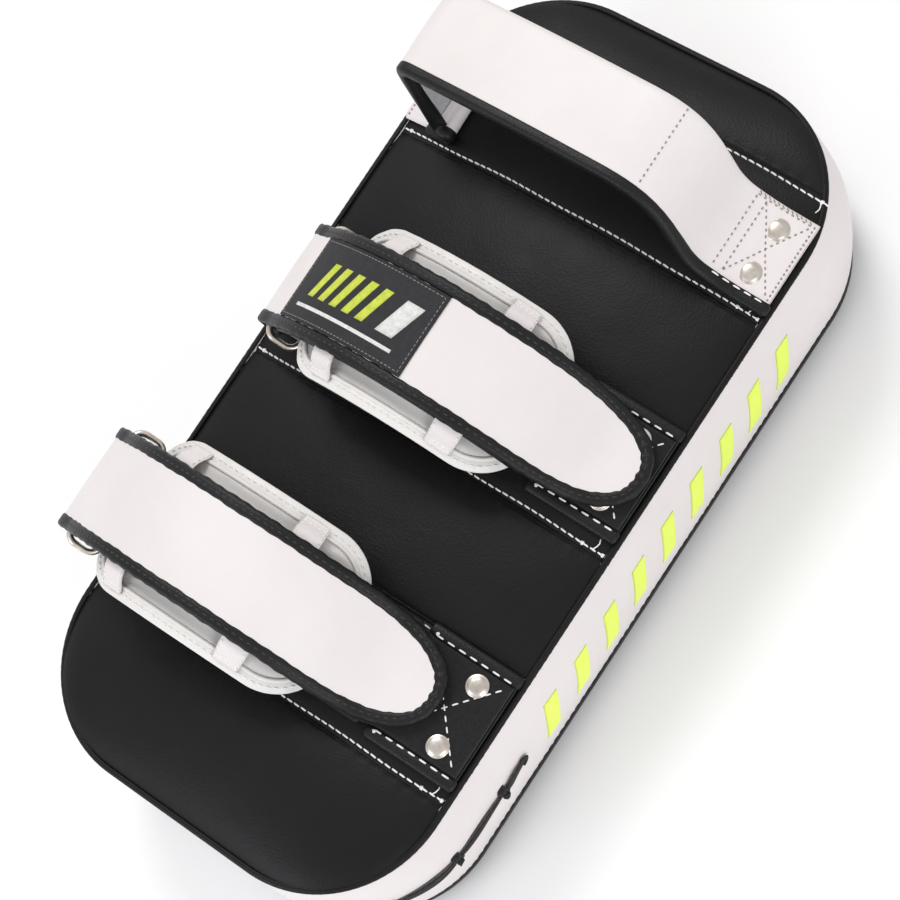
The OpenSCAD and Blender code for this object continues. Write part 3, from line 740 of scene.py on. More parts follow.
def side_wall():
    """The white wall above and below its slit, joined past the slit's ends, with its two seams."""
    u = round_wall(1021)
    gap = np.where((u > SLIT_START) & (u < SLIT_END), slit_gap(u), 0)
    parts = []
    for low, high in ((LIP_Z - 0.6 + 0 * gap, SLIT_Z - gap), (SLIT_Z + gap, SEAM_Z + 0.6 + 0 * gap)):
        t = (np.sin(np.linspace(-1, 1, 24) * math.pi / 2) + 1) / 2
        z = low + (high - low) * t[:, None]
        points, _ = on_wall(np.broadcast_to(u, z.shape), z)
        parts.append((points.reshape(-1, 3), grid_faces(24, len(u), loop=True, flip=True)))
    made = piece("side_wall_leather", parts, WHITE, weld=0.02)
    solid = made.modifiers.new("thickness", "SOLIDIFY")
    solid.thickness, solid.offset = LEATHER_THICK * MM, -1
    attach(made, "pad")
    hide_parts("side_wall")
    seam = np.arange(-STRAIGHT_Y, PERIMETER - STRAIGHT_Y, 1.0)
    top, normal = on_wall(seam, np.full(len(seam), SEAM_Z - 1.2), 0.1)
    bottom, low_normal = on_wall(seam, np.full(len(seam), LIP_Z + 1.6), 0.1)
    rows = [stitches(top, normal, 3.9, 2.3, 0.36, slant=0.55), stitches(bottom, low_normal, 3.9, 2.1, 0.3)]
    piece("wall_stitching", rows, BLACK_THREAD, "pad")


def seam_welt():
    """The rolled edge where the back's leather meets the wall."""
    u = round_wall(620)
    place, away = wall_spot(u)
    wave = 0.12 * np.cos(u * 2 * math.pi / 3.9)
    line = beside_outline(place, away, 0.1, SEAM_Z + 0.75 + wave)
    normal = np.stack([away[:, 0] * 0.5, away[:, 1] * 0.5, np.ones(len(u))], -1)
    piece("seam_welt", [tube(line, normal, 1.5, 1.0, loop=True, sides=10)], BLACK, "pad")


def ring_stack(profile, closed_top=False):
    """A body of revolution round the pad's outline: (inset, height) from its top edge down to its middle."""
    u = round_wall(421)
    place, away = wall_spot(u)
    rings = [beside_outline(place, away, -i, z) for i, z in profile]
    faces = grid_faces(len(rings), len(u), loop=True)
    last = (len(rings) - 1) * len(u)
    faces.append([last + j for j in range(len(u))])
    if closed_top:
        faces.append(list(range(len(u)))[::-1])
    return np.concatenate(rings), faces


def striking_cover():
    """The black striking face, turned up round its edge to meet the wall, and the soft foam behind it."""
    radius = 8.0
    turn = np.linspace(0, math.pi / 2, 9)
    edge = WALL_TUCK - 0.3
    profile = [(edge + 0.6, LIP_Z + 0.4), (edge, LIP_Z - 0.6)]
    profile += [(radius * (1 - math.cos(a)) + edge, radius * (1 - math.sin(a))) for a in turn]
    profile += [(i, 0.0) for i in (15.0, 26.0, 40.0, 57.0)]
    made = piece("striking_face", [ring_stack(profile)], BLACK, "pad")
    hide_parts("striking_cover")
    low, high = low_corner("soft_strike_foam")[2], high_corner("soft_strike_foam")[2]
    foam = [(4.2, high), (5.2, 22.0), (7.4, 14.0), (8.6, 9.0), (14.0, low), (50.0, low)]
    made = piece("soft_filling", [ring_stack(foam, closed_top=True)], FOAM, "pad")
    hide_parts("soft_strike_foam")


def wall_marks():
    """Slanted marks printed along the right wall, lying on its swell."""
    parts = []
    low = low_corner("wall_chevrons")
    high = high_corner("wall_chevrons")
    count, width, lean = 9, 9.0, 9.0
    pitch = (high[1] - low[1] - width - lean) / (count - 1)
    for k in range(count):
        t, c = np.meshgrid(np.linspace(0, 1, 16), np.linspace(0, 1, 8), indexing="ij")
        z = low[2] + (high[2] - low[2]) * t
        y = low[1] + k * pitch + lean * t + width * c
        points, normal = on_wall(-(HALF_L - CORNER_R) - y, z)
        parts.append(slab(points, normal, 0.32, -0.3))
    made = piece("wall_marks", parts, LIME, "pad")
    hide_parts("wall_chevrons")


# ---- laced opening ----

def lace_u(i):
    """Where along the wall the lace is tied for the i-th time."""
    return SLIT_START + LACE_FIRST + i * LACE_STEP


def lace_run(u0, u1, rise, width, seed):
    """A flat run of lace along the slit between two ties: broad in the middle, gathered at its ends."""
    t = np.linspace(0, 1, 44)
    u = u0 + (u1 - u0) * t
    belly = np.sin(math.pi * t) ** 0.6
    sway = 0.5 * np.sin(t * 5.1 + seed) * belly
    line, normal = on_wall(u, SLIT_Z + rise * belly + sway, 0.9 + 0.5 * belly)
    across = unit(np.cross(normal, unit(np.gradient(line, axis=0))))
    normal = unit(normal + (0.12 * np.sin(t * 4 + seed))[:, None] * across)
    return tube(line, normal, 0.7 + (width - 0.7) * belly, 0.45 + 0.1 * belly, crease=0.15, sides=12)


def lace_tie(u, seed):
    """The lace wound over the slit's two edges and knotted."""
    parts = []
    for k in range(3):
        t = np.linspace(-1, 1, 16)
        line, normal = on_wall(u + (k - 1) * 1.5 + 0.5 * t, SLIT_Z + 3.6 * t, 1.6 - 2.2 * t ** 4 - 0.1 * k)
        parts.append(tube(line, normal, 0.85, 0.55, sides=8))
    place, _ = on_wall(u + 0.4, SLIT_Z - 1.6, 1.9)
    parts.append(blob(place, 1.9, seed))
    return parts


def lacing():
    """One flat lace runs along the slit and is tied over its edges at even steps."""
    ends = [SLIT_START + 1.5] + [lace_u(i) for i in range(LACE_COUNT)] + [SLIT_END - 2]
    parts = []
    for k, (u0, u1) in enumerate(zip(ends, ends[1:])):
        outer = k in (0, LACE_COUNT)
        parts.append(lace_run(u0, u1, 0.0, 3.0 if k == 0 else (1.5 if outer else 2.3), k))
        if k == 2:
            parts.append(lace_run(u0, u1, -2.8, 0.9, k + 2))
    head = np.linspace(math.pi / 2, 3 * math.pi / 2, 16)
    line, normal = on_wall(SLIT_START + 3 + 3.0 * np.cos(head), SLIT_Z + 2.1 * np.sin(head), 1.3)
    parts.append(tube(line, normal, 1.1, 0.6, sides=10))
    for i in range(LACE_COUNT):
        parts += lace_tie(lace_u(i), i)
    made = piece("wall_lace", parts, WEBBING, "pad")
    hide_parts("lace")
    rims = []
    angle = np.linspace(0, 2 * math.pi, 14, endpoint=False)
    for i in range(LACE_COUNT):
        for side in (-1, 1):
            z = SLIT_Z + side * 3.9 + 0.9 * np.sin(angle)
            line, normal = on_wall(lace_u(i) + 1.9 * np.cos(angle), z, 0.1)
            rims.append(tube(line, normal, 0.4, 0.4, loop=True, sides=8))
            rims.append((line, [list(range(14))]))
    made = piece("wall_eyelets", rims, WEBBING, "pad")
    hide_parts("lace_eyelets")
    u = np.linspace(SLIT_START - 8, SLIT_END + 8, 90)
    z = SLIT_Z + np.linspace(-12, 12, 10)
    grid, normal = on_wall(u[:, None], z[None, :], -3.6)
    made = piece("slit_placket", [slab(grid, normal, 0.5, -0.5)], WEBBING, "pad")
    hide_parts("lace_placket")


# ---- routes of the straps, as in the part ----

def corner(a, b, c, back, n=10):
    """The bend at b between a and c, begun the distance back before it."""
    a, b, c = (np.asarray(p, float) for p in (a, b, c))
    p, q = b + back * unit(a - b), b + back * unit(c - b)
    t = np.linspace(0, 1, n)[:, None]
    return (1 - t) ** 2 * p + 2 * t * (1 - t) * b + t ** 2 * q


def back_line(x0, x1, lift, n=12):
    """A line across the back from x0 to x1, lift above its crown."""
    x = np.linspace(x0, x1, n)
    return np.stack([x, back_z(x, lift)], -1)


def arch(x, angle, out):
    """Points on a strap's arch over x, angle degrees from its top and out from its middle line."""
    a = np.radians(angle)
    return np.stack([x + (ARCH_R + out) * np.sin(a), ARCH_Z + (ARCH_R + out) * np.cos(a)], -1)


def strap_line(x, out, way, end_x):
    """Round the arch from the ring, then down and flat along the back to end_x."""
    angle = np.arange(-FOLD_ANGLE, LAND_ANGLE + 0.1, 1.5)
    t = np.clip((angle + FOLD_ANGLE) / SPREAD_ANGLE, 0, 1)
    top = arch(x, angle, out + way * FOLD_SPREAD * (1 - t * t * (3 - 2 * t)))
    last, lift = arch(x, LAND_ANGLE, out), STRAP_LIFT + out
    foot_x = last[0] + (last[1] - back_z(x + FOOT_REACH, lift)) / math.tan(math.radians(LAND_ANGLE))
    foot, flat_x = (foot_x, float(back_z(foot_x, lift))), foot_x + 12
    bend = corner(last, foot, (flat_x, float(back_z(flat_x, lift))), 9)
    return np.concatenate([top, bend, back_line(flat_x, end_x, lift)])


# ---- handle ----

class Handle:
    """The handle strap: flat on the left, folded back and up, over the hand, down and flat on the right."""

    def __init__(self):
        self.half = 21.0
        foot = BASE_LIFT + 3.1
        mid_y = (low_corner("handle_shell")[1] + high_corner("handle_shell")[1]) / 2 - 2
        low_x, top_z = -72.0, 128.0
        low = (low_x, float(back_z(low_x, foot + 3)))
        high, shoulder = (-87.0, top_z), (42.0, top_z)
        landing = (68.0, float(back_z(68, foot + 1.5)))
        turn = np.radians(np.linspace(-80, 110, 10))
        fold_z = float(back_z(low_x)) + BASE_LIFT + 1.5 + 2.6
        fold = np.stack([low_x + 1 + 2.6 * np.cos(turn), fold_z + 2.6 * np.sin(turn)], -1)
        crown = np.linspace(0, 1, 14)[1:-1, None]
        plateau = np.array(high) + [10, 0] + (np.array(shoulder) - np.array(high) - [34, 0]) * crown
        plateau[:, 1] += 1.6 * np.sin(math.pi * crown[:, 0])
        bend = corner(shoulder, landing, (84.0, float(back_z(84, foot - 1.5))), 12)
        path = [back_line(-HALF_W + 1, low_x, BASE_LIFT + 1.5), fold, corner(low, high, shoulder, 10),
                plateau, corner(high, shoulder, landing, 24), bend,
                back_line(bend[-1][0] + 3, HALF_W - 1, foot - 1.5)]

        def lean(z):
            return mid_y - 3 + 9 * ease((z - 92) / 36)

        self.ribbon = Ribbon(np.concatenate(path), lean)
        z = self.ribbon.path[:, 1]
        self.thick = 2.8 + 3.6 * ease((z - 96) / 22)
        before_fold, half_fold = 12, 5
        self.fold_s = self.ribbon.s[before_fold + half_fold]
        self.land_s = self.ribbon.s_at_x(68.0)

    def thickness(self, s):
        return np.interp(s, self.ribbon.s, self.thick)


def bend_with_handle(made):
    """Bakes the piece's placement into its mesh and gives it back; it is not attached to any body."""
    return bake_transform(made)


def handle():
    """The hand grip: strap, lining, rolled binding along its lower edge, and stitching."""
    h = Handle()
    r = h.ribbon
    s = np.linspace(0, r.length, 260)
    t = h.thickness(s)
    lining = 1.2 * ease((t - 3.2) / 1.5)
    shell = piece("handle_strap", [strap_slab(r, s, h.half, t / 2, -t / 2 + lining, crown=0.5, radius=2.2)],
                  WHITE)
    bend_with_handle(shell)
    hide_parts("handle_shell", "handle_feet", "handle_foam",
                "handle_anchor_left", "handle_anchor_right")
    inside = s[t > 3.3]
    ti = h.thickness(inside)
    cloth = strap_slab(r, inside, h.half - 1.0, -ti / 2 + 1.1, -ti / 2 - 0.1, radius=0.6)
    under = piece("handle_inside", [cloth], GREY)
    bend_with_handle(under)
    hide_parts("handle_lining")
    b = np.linspace(h.fold_s - 16, r.length, 240)
    tb = h.thickness(b)
    line, normal = r.at(b, -h.half + 0.4, 0.2)
    roll = piece("handle_roll", [tube(line, normal, 3.3, 1.3 + tb * 0.42, crease=0.16, sides=18)],
                 BINDING)
    bend_with_handle(roll)
    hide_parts("handle_binding")
    handle_stitching(h)


def handle_stitching(h):
    """Grey stitching on the grip's two ends, white dashes along its edge, and its rivets."""
    r = h.ribbon
    flat = np.linspace(h.land_s + 2, r.length - 1.5, 60)
    top = h.thickness(flat) / 2 + 0.42
    rows = []

    def row(s, v, pitch=2.7, length=1.5, radius=0.3, slant=0.0):
        s, v = np.broadcast_arrays(np.asarray(s, float), np.asarray(v, float))
        line, normal = r.at(s, v, h.thickness(s) / 2 + 0.5 * (1 - (v / h.half) ** 2) + 0.08)
        rows.append(stitches(line, normal, pitch, length, radius, slant=slant))

    a, b = h.land_s + 2, r.length - 3
    edge = h.half - 2.2
    row(a, np.linspace(-h.half + 4.5, edge, 30))
    row(a + 5, np.linspace(-h.half + 4.5, edge, 30))
    row(np.linspace(a + 5, b, 30), np.linspace(-h.half + 5, edge - 1, 30))
    row(np.linspace(a + 5, b, 30), np.linspace(edge - 1, -h.half + 5, 30))
    row(np.linspace(a, b, 30), edge)
    row(np.linspace(a, b, 30), edge + 1.1, pitch=2.2, length=1.4, slant=0.8)
    row(b + 1.6, np.linspace(-h.half + 3, h.half - 1, 40), pitch=2.1, length=1.3, radius=0.34)
    row(np.full(30, r.s_at_x(38.0, 0.4)), np.linspace(-h.half + 4, h.half - 1, 30))
    row(1.6, np.linspace(-h.half + 1, h.half - 1, 40), pitch=2.1, length=1.3, radius=0.34)
    row(np.linspace(2, 22, 20), h.half - 2.0)
    made = piece("handle_stitches", rows, GREY_THREAD)
    bend_with_handle(made)
    line, normal = r.at(flat, -h.half + 2.0, top + 1.0)
    dashes = piece("handle_edge_dashes", [stitches(line, normal, 5.2, 3.4, 0.38)],
                   WHITE_THREAD)
    bend_with_handle(dashes)
    caps = []
    for x in (-88.0, RIVET_X):
        for side in (-1, 1):
            near = r.length * (0.02 if x < 0 else 0.98)
            y = float(r.at(near, 0)[0][1]) + side * 10.5
            caps.append(rivet_cap(x, y, float(back_z(x)) + BASE_LIFT + 3.05, 1.7))
    made = piece("handle_rivet_caps", caps, NICKEL, "pad")
    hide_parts("handle_rivets")


# ---- forearm straps ----

class Strap:
    """One forearm strap: its arch, where its tongue ends, and where its ring is."""

    def __init__(self, name, tip_x):
        self.name = name
        centre = joint_place(name + "_cushion_slide")
        self.x, self.y = centre[0], centre[1]
        self.axis = joint_place(name + "_strap_peel")[[0, 2]]
        self.bar = joint_place(name + "_ring_swing")[[0, 2]]
        self.tip_x = tip_x
        self.outer = Ribbon(strap_line(self.x, OUTER_OUT, 1, tip_x + 2), self.y)
        self.inner = Ribbon(strap_line(self.x, 0, -1, STRAP_END_X), self.y)
        a = math.radians(-FOLD_ANGLE)
        out, ahead = np.array([math.sin(a), math.cos(a)]), np.array([math.cos(a), -math.sin(a)])
        turn = np.linspace(0, math.pi, 28)[:, None]
        radius = OUTER_OUT / 2 + FOLD_SPREAD
        self.fold = Ribbon(self.axis - radius * (out * np.cos(turn) + ahead * np.sin(turn)), self.y)

    def tongue(self, inset):
        """Running lengths and half widths of the outer strap, round its tapered tip."""
        start = self.outer.s_at_x(self.tip_x - TONGUE_LENGTH)
        s = np.linspace(0, start, 90)
        t = np.radians(np.linspace(0, 88.5, 46))[1:]
        x = self.tip_x - inset - (TONGUE_LENGTH - inset) * (1 - np.sin(t) ** BLUNT)
        half = (OUTER_HALF - inset) * np.cos(t) ** BLUNT
        return (np.concatenate([s, self.outer.s_at_x(x)]),
                np.concatenate([np.full(len(s), OUTER_HALF - inset), half]))


def tongue_outline(strap, inset):
    """The line along one edge of the outer strap, round its tip and back along the other edge."""
    s, half = strap.tongue(inset)
    s, v = np.concatenate([s, s[::-1]]), np.concatenate([-half, half[::-1]])
    line, normal = strap.outer.at(s, v)
    total = lengths(line)
    where = np.linspace(0, total[-1], 420)
    return at_length(line, total, where), unit(at_length(normal, total, where))


def bend_with_strap(made, strap):
    """Bakes the piece's placement into its mesh and gives it back; it is not attached to any body."""
    low, high = strap.fold.at(0.0, 0.0)[0] * MM, strap.fold.at(strap.fold.length, 0.0)[0] * MM
    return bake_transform(made)


def outer_strap(strap):
    """The strap's leather, the binding rolled over its edge, and its hook patch."""
    body = strap.name + "_strap"
    s, half = strap.tongue(1.6)
    waver = 0.25 * ripple(s, s * 0, 47, strap.y)
    skin = strap_slab(strap.outer, s, half, 1.15 + waver, -1.15 + waver, crown=0.35)
    made = piece(body + "_leather", [skin], WHITE, body)
    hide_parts(strap.name + "_outer_strap", strap.name + "_hook_patch")
    line, normal = tongue_outline(strap, 2.4)
    count = len(line)
    wobble = 1 + 0.05 * np.sin(np.arange(count) * 0.9) + 0.03 * np.sin(np.arange(count) * 0.37)
    tip = np.exp(-((np.arange(count) - count / 2) / 26) ** 2)
    crinkle = 1 + 0.10 * tip * np.sin(np.arange(count) * 1.5)
    rim = piece(body + "_roll", [tube(line, normal, 3.1 * wobble, 2.15 * crinkle, crease=0.22, sides=18)],
                BINDING, body)
    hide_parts(strap.name + "_strap_binding")
    piece(body + "_roll_stitches", [stitches(line + normal * 1.72, normal, 3.6, 2.4, 0.28)],
          BLACK_THREAD, body)
    hooks = strap.outer
    a, b = hooks.s_at_x(strap.x + 52, 0.3), hooks.s_at_x(strap.x + 64, 0.3)
    patch = strap_slab(hooks, np.linspace(a, b, 12), 19.0, -1.2, -2.4)
    piece(body + "_hooks", [patch], LOOP, body)


def strap_fold(strap):
    """The strap's turn through its ring, with its binding on both edges."""
    s = np.linspace(-0.02, strap.fold.length, 30)
    made = piece(strap.name + "_fold", [strap_slab(strap.fold, s, OUTER_HALF - 1.6, 1.1, -1.1)],
                 WHITE)
    bend_with_strap(made, strap)
    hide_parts(strap.name + "_strap_fold")
    rolls = []
    for side in (-1, 1):
        line, normal = strap.fold.at(s, side * (OUTER_HALF - 2.4), 0.75)
        rolls.append(tube(line, normal, 3.0, 1.4, crease=0.22, sides=18))
    bend_with_strap(piece(strap.name + "_fold_roll", rolls, BINDING), strap)


def inner_strap(strap):
    """The loop strap under the outer one, and the sewn patch under its right end."""
    r = strap.inner
    s = np.linspace(0, r.length, 170)
    flat_s = r.s_at_x(STRAP_END_X - 36)
    half = 24.0 - 2.5 * ease((s - flat_s + 14) / 14)
    made = piece(strap.name + "_inner_loop", [strap_slab(r, s, half, 1.0, -1.0, radius=0.7)],
                 LOOP, "pad")
    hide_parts(strap.name + "_inner_strap")
    edges = []
    on_arch = s[s < flat_s - 10]
    for side in (-1, 1):
        line, normal = r.at(on_arch, side * 23.2)
        edges.append(tube(line, normal, 1.9, 1.25, crease=0.2, sides=12))
    piece(strap.name + "_inner_edges", edges, BINDING, "pad")
    patch_x = np.linspace(STRAP_END_X - PATCH_LENGTH, STRAP_END_X, 26)
    patch = Ribbon(np.stack([patch_x, back_z(patch_x, BASE_LIFT)], -1), strap.y)
    p = np.linspace(0, patch.length, 40)
    made = piece(strap.name + "_anchor_patch", [strap_slab(patch, p, 25.0, 2.4, 0.0)],
                 LOOP, "pad")
    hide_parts(strap.name + "_strap_anchor")
    rims, dashes = [], []
    for side in (-1, 1):
        line, normal = patch.at(p, side * 24.6, 1.7)
        rims.append(tube(line, normal, 3.1, 1.5, crease=0.12, sides=14))
        line, normal = patch.at(p, side * 22.9, 3.05)
        dashes.append(stitches(line, normal, 5.6, 3.9, 0.42))
    strap_top = STRAP_LIFT + 1.1
    flat = Ribbon(np.stack([patch_x, back_z(patch_x, strap_top)], -1), strap.y)
    a, b = 6.0, flat.length - 2
    for way in (-1, 1):
        cross_s = np.linspace(a, b, 30)
        line, normal = flat.at(cross_s, way * np.linspace(-20, 20, 30), 0.05)
        dashes.append(stitches(line, normal, 4.6, 3.0, 0.36))
    line, normal = flat.at(a - 1.5, np.linspace(-20, 20, 30), 0.05)
    dashes.append(stitches(line, normal, 4.6, 3.0, 0.36))
    piece(strap.name + "_patch_rims", rims, BINDING, "pad")
    knots = [blob(patch.at(p[3], side * 23.5, 3.4)[0], 0.9, side) for side in (-1, 1)]
    piece(strap.name + "_patch_dashes", dashes + knots, WHITE_THREAD, "pad")


def anchor_tab(strap):
    """The white tab that holds the ring: doubled round the ring's lower bar and riveted to the band."""
    seam_side = strap.bar[0] > -HALF_W + 6
    start_x = -HALF_W + 1 if seam_side else -66.0
    end_x = strap.bar[0] - 7 if seam_side else strap.bar[0] + 9
    way = 1 if seam_side else -1
    radius = 2.5
    low = back_line(start_x, end_x, BASE_LIFT + 0.7)
    high = back_line(start_x, end_x, BASE_LIFT + 2.3)[::-1]
    turn = np.radians(np.linspace(-100, 115, 16))
    loop = strap.bar + radius * np.stack([way * np.cos(turn), np.sin(turn)], -1)
    path = np.concatenate([low, loop, high])
    ribbon = Ribbon(path, strap.y)
    s = np.linspace(0, ribbon.length, 110)
    made = piece(strap.name + "_tab", [strap_slab(ribbon, s, 22.0, 0.65, -0.65, radius=0.6)],
                 WHITE, "pad")
    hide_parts(strap.name + "_anchor_tab")
    top = Ribbon(back_line(min(start_x, end_x), max(start_x, end_x), BASE_LIFT + 3.0), strap.y)
    rows = []
    near = 1.6 if seam_side else top.length - 1.6
    line, normal = top.at(near, np.linspace(-21, 21, 40), 0.05)
    rows.append(stitches(line, normal, 2.1, 1.3, 0.34))
    for side in (-1, 1):
        line, normal = top.at(np.linspace(1.6, top.length - 1.6, 20), side * 20.0, 0.05)
        rows.append(stitches(line, normal, 2.6, 1.5, 0.3))
    piece(strap.name + "_tab_stitches", rows, GREY_THREAD, "pad")


def strap_rivets(strap):
    """Two rivets through the tab on the left, and two through the strap's right end."""
    caps = []
    low = low_corner(strap.name + "_rivets")[0] + RIVET_R
    for x, lift in ((low, BASE_LIFT + 3.0), (RIVET_X, STRAP_LIFT + 1.05)):
        for side in (-1, 1):
            caps.append(rivet_cap(x, strap.y + side * 14.5, float(back_z(x, lift)), 1.6))
    made = piece(strap.name + "_rivet_caps", caps, NICKEL, "pad")
    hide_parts(strap.name + "_rivets")


def label(strap):
    """A plain woven label: sewn border, two bands and a row of slanted bars in the middle."""
    body = strap.name + "_strap"
    r = strap.outer
    centre = r.s_at_x(strap.x - 100 * math.sin(math.radians(16)), 0.15)
    half_len, half_wid = 40.0, 19.5
    s = np.linspace(centre - half_len, centre + half_len, 60)
    v = np.linspace(-half_wid, half_wid, 26)
    mid, normal = r.at(s[:, None], v[None, :], 1.15 + 0.35)
    made = piece("strap_label", [slab(mid, normal, 0.55, -0.2)], LABEL, body)
    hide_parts("upper_label")
    bars = {"lime": [], "pale": []}

    def bar(group, s0, s1, v0, v1, lean=0.0):
        columns = max(int((s1 - s0) / 1.5), 6)
        t, c = np.meshgrid(np.linspace(0, 1, 10), np.linspace(0, 1, columns), indexing="ij")
        points, up = r.at(s0 + (s1 - s0) * c + lean * (t - 0.5), v0 + (v1 - v0) * t, 2.02)
        bars[group].append(slab(points, up, 0.16, -0.1))

    for k in range(5):
        bar("lime", centre - 24 + k * 8.5, centre - 19.5 + k * 8.5, -7.5, 9.5, lean=6.0)
    bar("pale", centre - 31, centre + 31, -13.2, -11.6)
    bar("pale", centre + 22, centre + 31, -7.5, 9.5, lean=6.0)
    piece("label_lime_bars", bars["lime"], LIME_THREAD, body)
    piece("label_pale_bars", bars["pale"], WHITE_WEAVE, body)
    a, b = centre - half_len + 1.6, centre + half_len - 1.6
    w = half_wid - 1.5
    n = 60
    ss = np.concatenate([np.linspace(a, b, n), np.full(n, b), np.linspace(b, a, n), np.full(n, a)])
    vv = np.concatenate([np.full(n, -w), np.linspace(-w, w, n), np.full(n, w), np.linspace(w, -w, n)])
    line, up = r.at(ss, vv, 2.1)
    piece("label_stitches", [stitches(line, up, 2.1, 1.6, 0.2)], GREY_THREAD, body)


KEEPER_ANGLES = (-17.0, 23.0)


def keepers(strap):
    """White loops sewn to the cushion that hold it on the inner strap."""
    body = strap.name + "_cushion"
    v = np.array([0, 18, 24.5, 26.2, 27.4, 29, 31, 32.6, 34.6])
    out = np.array([1.9, 1.9, 1.85, 1.5, 0.9, 0.3, -1.6, -3.6, -4.0])
    fine = np.linspace(-34.6, 34.6, 90)
    height = np.interp(np.abs(fine), v, out)
    height = np.convolve(np.pad(height, 2, mode="edge"), np.ones(5) / 5, mode="valid")
    parts, rows = [], []
    for angle in KEEPER_ANGLES:
        share = np.linspace(-1, 1, 12)
        a = np.radians(angle + share * 6.5 / ARCH_R * 180 / math.pi)
        radius = ARCH_R + height[:, None]
        y = np.broadcast_to(strap.y + fine[:, None], (len(fine), len(a)))
        mid = np.stack([strap.x + radius * np.sin(a), y, ARCH_Z + radius * np.cos(a)], -1)
        normal = surface_normals(mid)
        edge = soft_edge(share * 6.5, 6.5, 0.6) * 0.55
        parts.append(slab(mid, normal, edge, -edge))
        for end in (1, -2):
            rows.append(stitches(mid[:, end] + normal[:, end] * 0.6, normal[:, end], 2.6, 1.6, 0.26))
        for end in (3, -4):
            rows.append(stitches(mid[end] + normal[end] * 0.6, normal[end], 2.4, 1.6, 0.26))
    made = piece(body + "_keepers", parts, WHITE, body)
    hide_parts(strap.name + "_keepers")
    piece(body + "_keeper_stitches", rows, WHITE_THREAD, body)


# ---- cushions ----

CUSHION_X, CUSHION_Y, CUSHION_R = 63.0, 37.0, 26.0
CUSHION_SHIFT = {"upper": 5.0, "lower": 9.0}
CUSHION_BASE = -6.4
RIM = 5.0
RIM_POINTS = 260
SIM_FRAMES = 20
SWELL_CAP = 4.5


def cushion_edge(inset, n=200):
    """The cushion's flat outline, moved in by inset."""
    lx, ly, r = CUSHION_X - CUSHION_R, CUSHION_Y - CUSHION_R, CUSHION_R - inset
    angle = np.linspace(0, 2 * math.pi, n, endpoint=False) + 1e-4
    x = np.sign(np.cos(angle)) * lx + r * np.cos(angle)
    y = np.sign(np.sin(angle)) * ly + r * np.sin(angle)
    ring = np.stack([x, y], -1)
    closed = np.concatenate([ring, ring[:1]])
    return at_length(closed, lengths(closed), np.linspace(0, lengths(closed)[-1], n, endpoint=False))


def cushion_shape():
    """Height of the cushion's top and bottom over a flat grid, from the simulation."""
    nx, ny = 76, 50
    x = np.linspace(-1, 1, nx)
    y = np.linspace(-1, 1, ny)
    gx, gy = np.meshgrid(x, y, indexing="ij")
    px, py = square_to_outline(gx, gy, RIM)
    inside = 1 - np.maximum(np.abs(gx), np.abs(gy))
    puff = 0.9 + 3.0 * np.sqrt(np.clip(inside * 3.0, 0, 1))
    top = np.stack([px, py, puff], -1).reshape(-1, 3)
    bottom = np.stack([px, py, -puff], -1).reshape(-1, 3)
    faces = grid_faces(nx, ny) + grid_faces(nx, ny, start=nx * ny, flip=True)
    rim = border(nx, ny)
    for a, b in zip(rim, rim[1:] + rim[:1]):
        faces.append([b, a, a + nx * ny, b + nx * ny])
    points = np.concatenate([top, bottom])
    return blown_up(points, faces, [k + half * nx * ny for k in rim for half in (0, 1)]), faces


def blown_up(points, faces, pinned):
    """The points after cloth simulation under pressure, each moved SWELL_CAP at most."""
    mesh = bpy.data.meshes.new("cushion_sim")
    mesh.from_pydata((points * MM).tolist(), [], faces)
    mesh.validate()
    blown = bpy.data.objects.new("cushion_sim", mesh)
    scene.collection.objects.link(blown)
    pins = blown.vertex_groups.new(name="pins")
    pins.add(pinned, 1.0, "REPLACE")
    cloth = blown.modifiers.new("cloth", "CLOTH")
    cloth.settings.quality = 6
    cloth.settings.mass = 0.25
    cloth.settings.tension_stiffness = cloth.settings.compression_stiffness = 12
    cloth.settings.bending_stiffness = 0.8
    cloth.settings.use_pressure = True
    cloth.settings.uniform_pressure_force = 4
    cloth.settings.vertex_group_mass = "pins"
    cloth.settings.effector_weights.gravity = 0
    cloth.collision_settings.use_self_collision = False
    cloth.point_cache.frame_start, cloth.point_cache.frame_end = 1, SIM_FRAMES
    for step in range(1, SIM_FRAMES + 1):
        scene.frame_set(step)
    seen = blown.evaluated_get(bpy.context.evaluated_depsgraph_get())
    moved = np.array([v.co for v in seen.data.vertices], float) / MM
    scene.frame_set(1)
    bpy.data.objects.remove(blown)
    shift = moved - points
    far = np.linalg.norm(shift, axis=1, keepdims=True)
    return points + shift * np.minimum(1, SWELL_CAP / np.maximum(far, 1e-9))


def square_to_outline(gx, gy, inset):
    """Spreads the square -1..1 over the cushion's outline moved in by inset."""
    edge = cushion_edge(inset, 400)
    edge = np.concatenate([edge, edge[:1]])
    reach = np.maximum(np.maximum(np.abs(gx), np.abs(gy)), 1e-9)
    bx, by = gx / reach, gy / reach
    near = 1 - 1e-9
    turn = np.where(bx >= near, by, np.where(by >= near, 2 - bx, np.where(bx <= -near, 4 - by, 6 + bx)))
    place = at_length(edge, np.linspace(0, 1, len(edge)), (turn / 8 % 1).ravel()).reshape(gx.shape + (2,))
    return place[..., 0] * reach, place[..., 1] * reach


def under_strap(points, strap):
    """Bends flat cushion points to the inside of the strap: X runs along it and Z stands out of it."""
    reach = points[..., 0] + CUSHION_SHIFT[strap.name]
    radius = ARCH_R + CUSHION_BASE
    bend = math.radians(LAND_ANGLE)
    angle = np.minimum(reach / radius, bend)
    past = np.maximum(reach - radius * bend, 0)
    r = radius + points[..., 2]
    x = strap.x + r * np.sin(angle) + past * math.cos(bend)
    z = ARCH_Z + r * np.cos(angle) - past * math.sin(bend)
    return np.stack([x, strap.y + points[..., 1], z], -1)


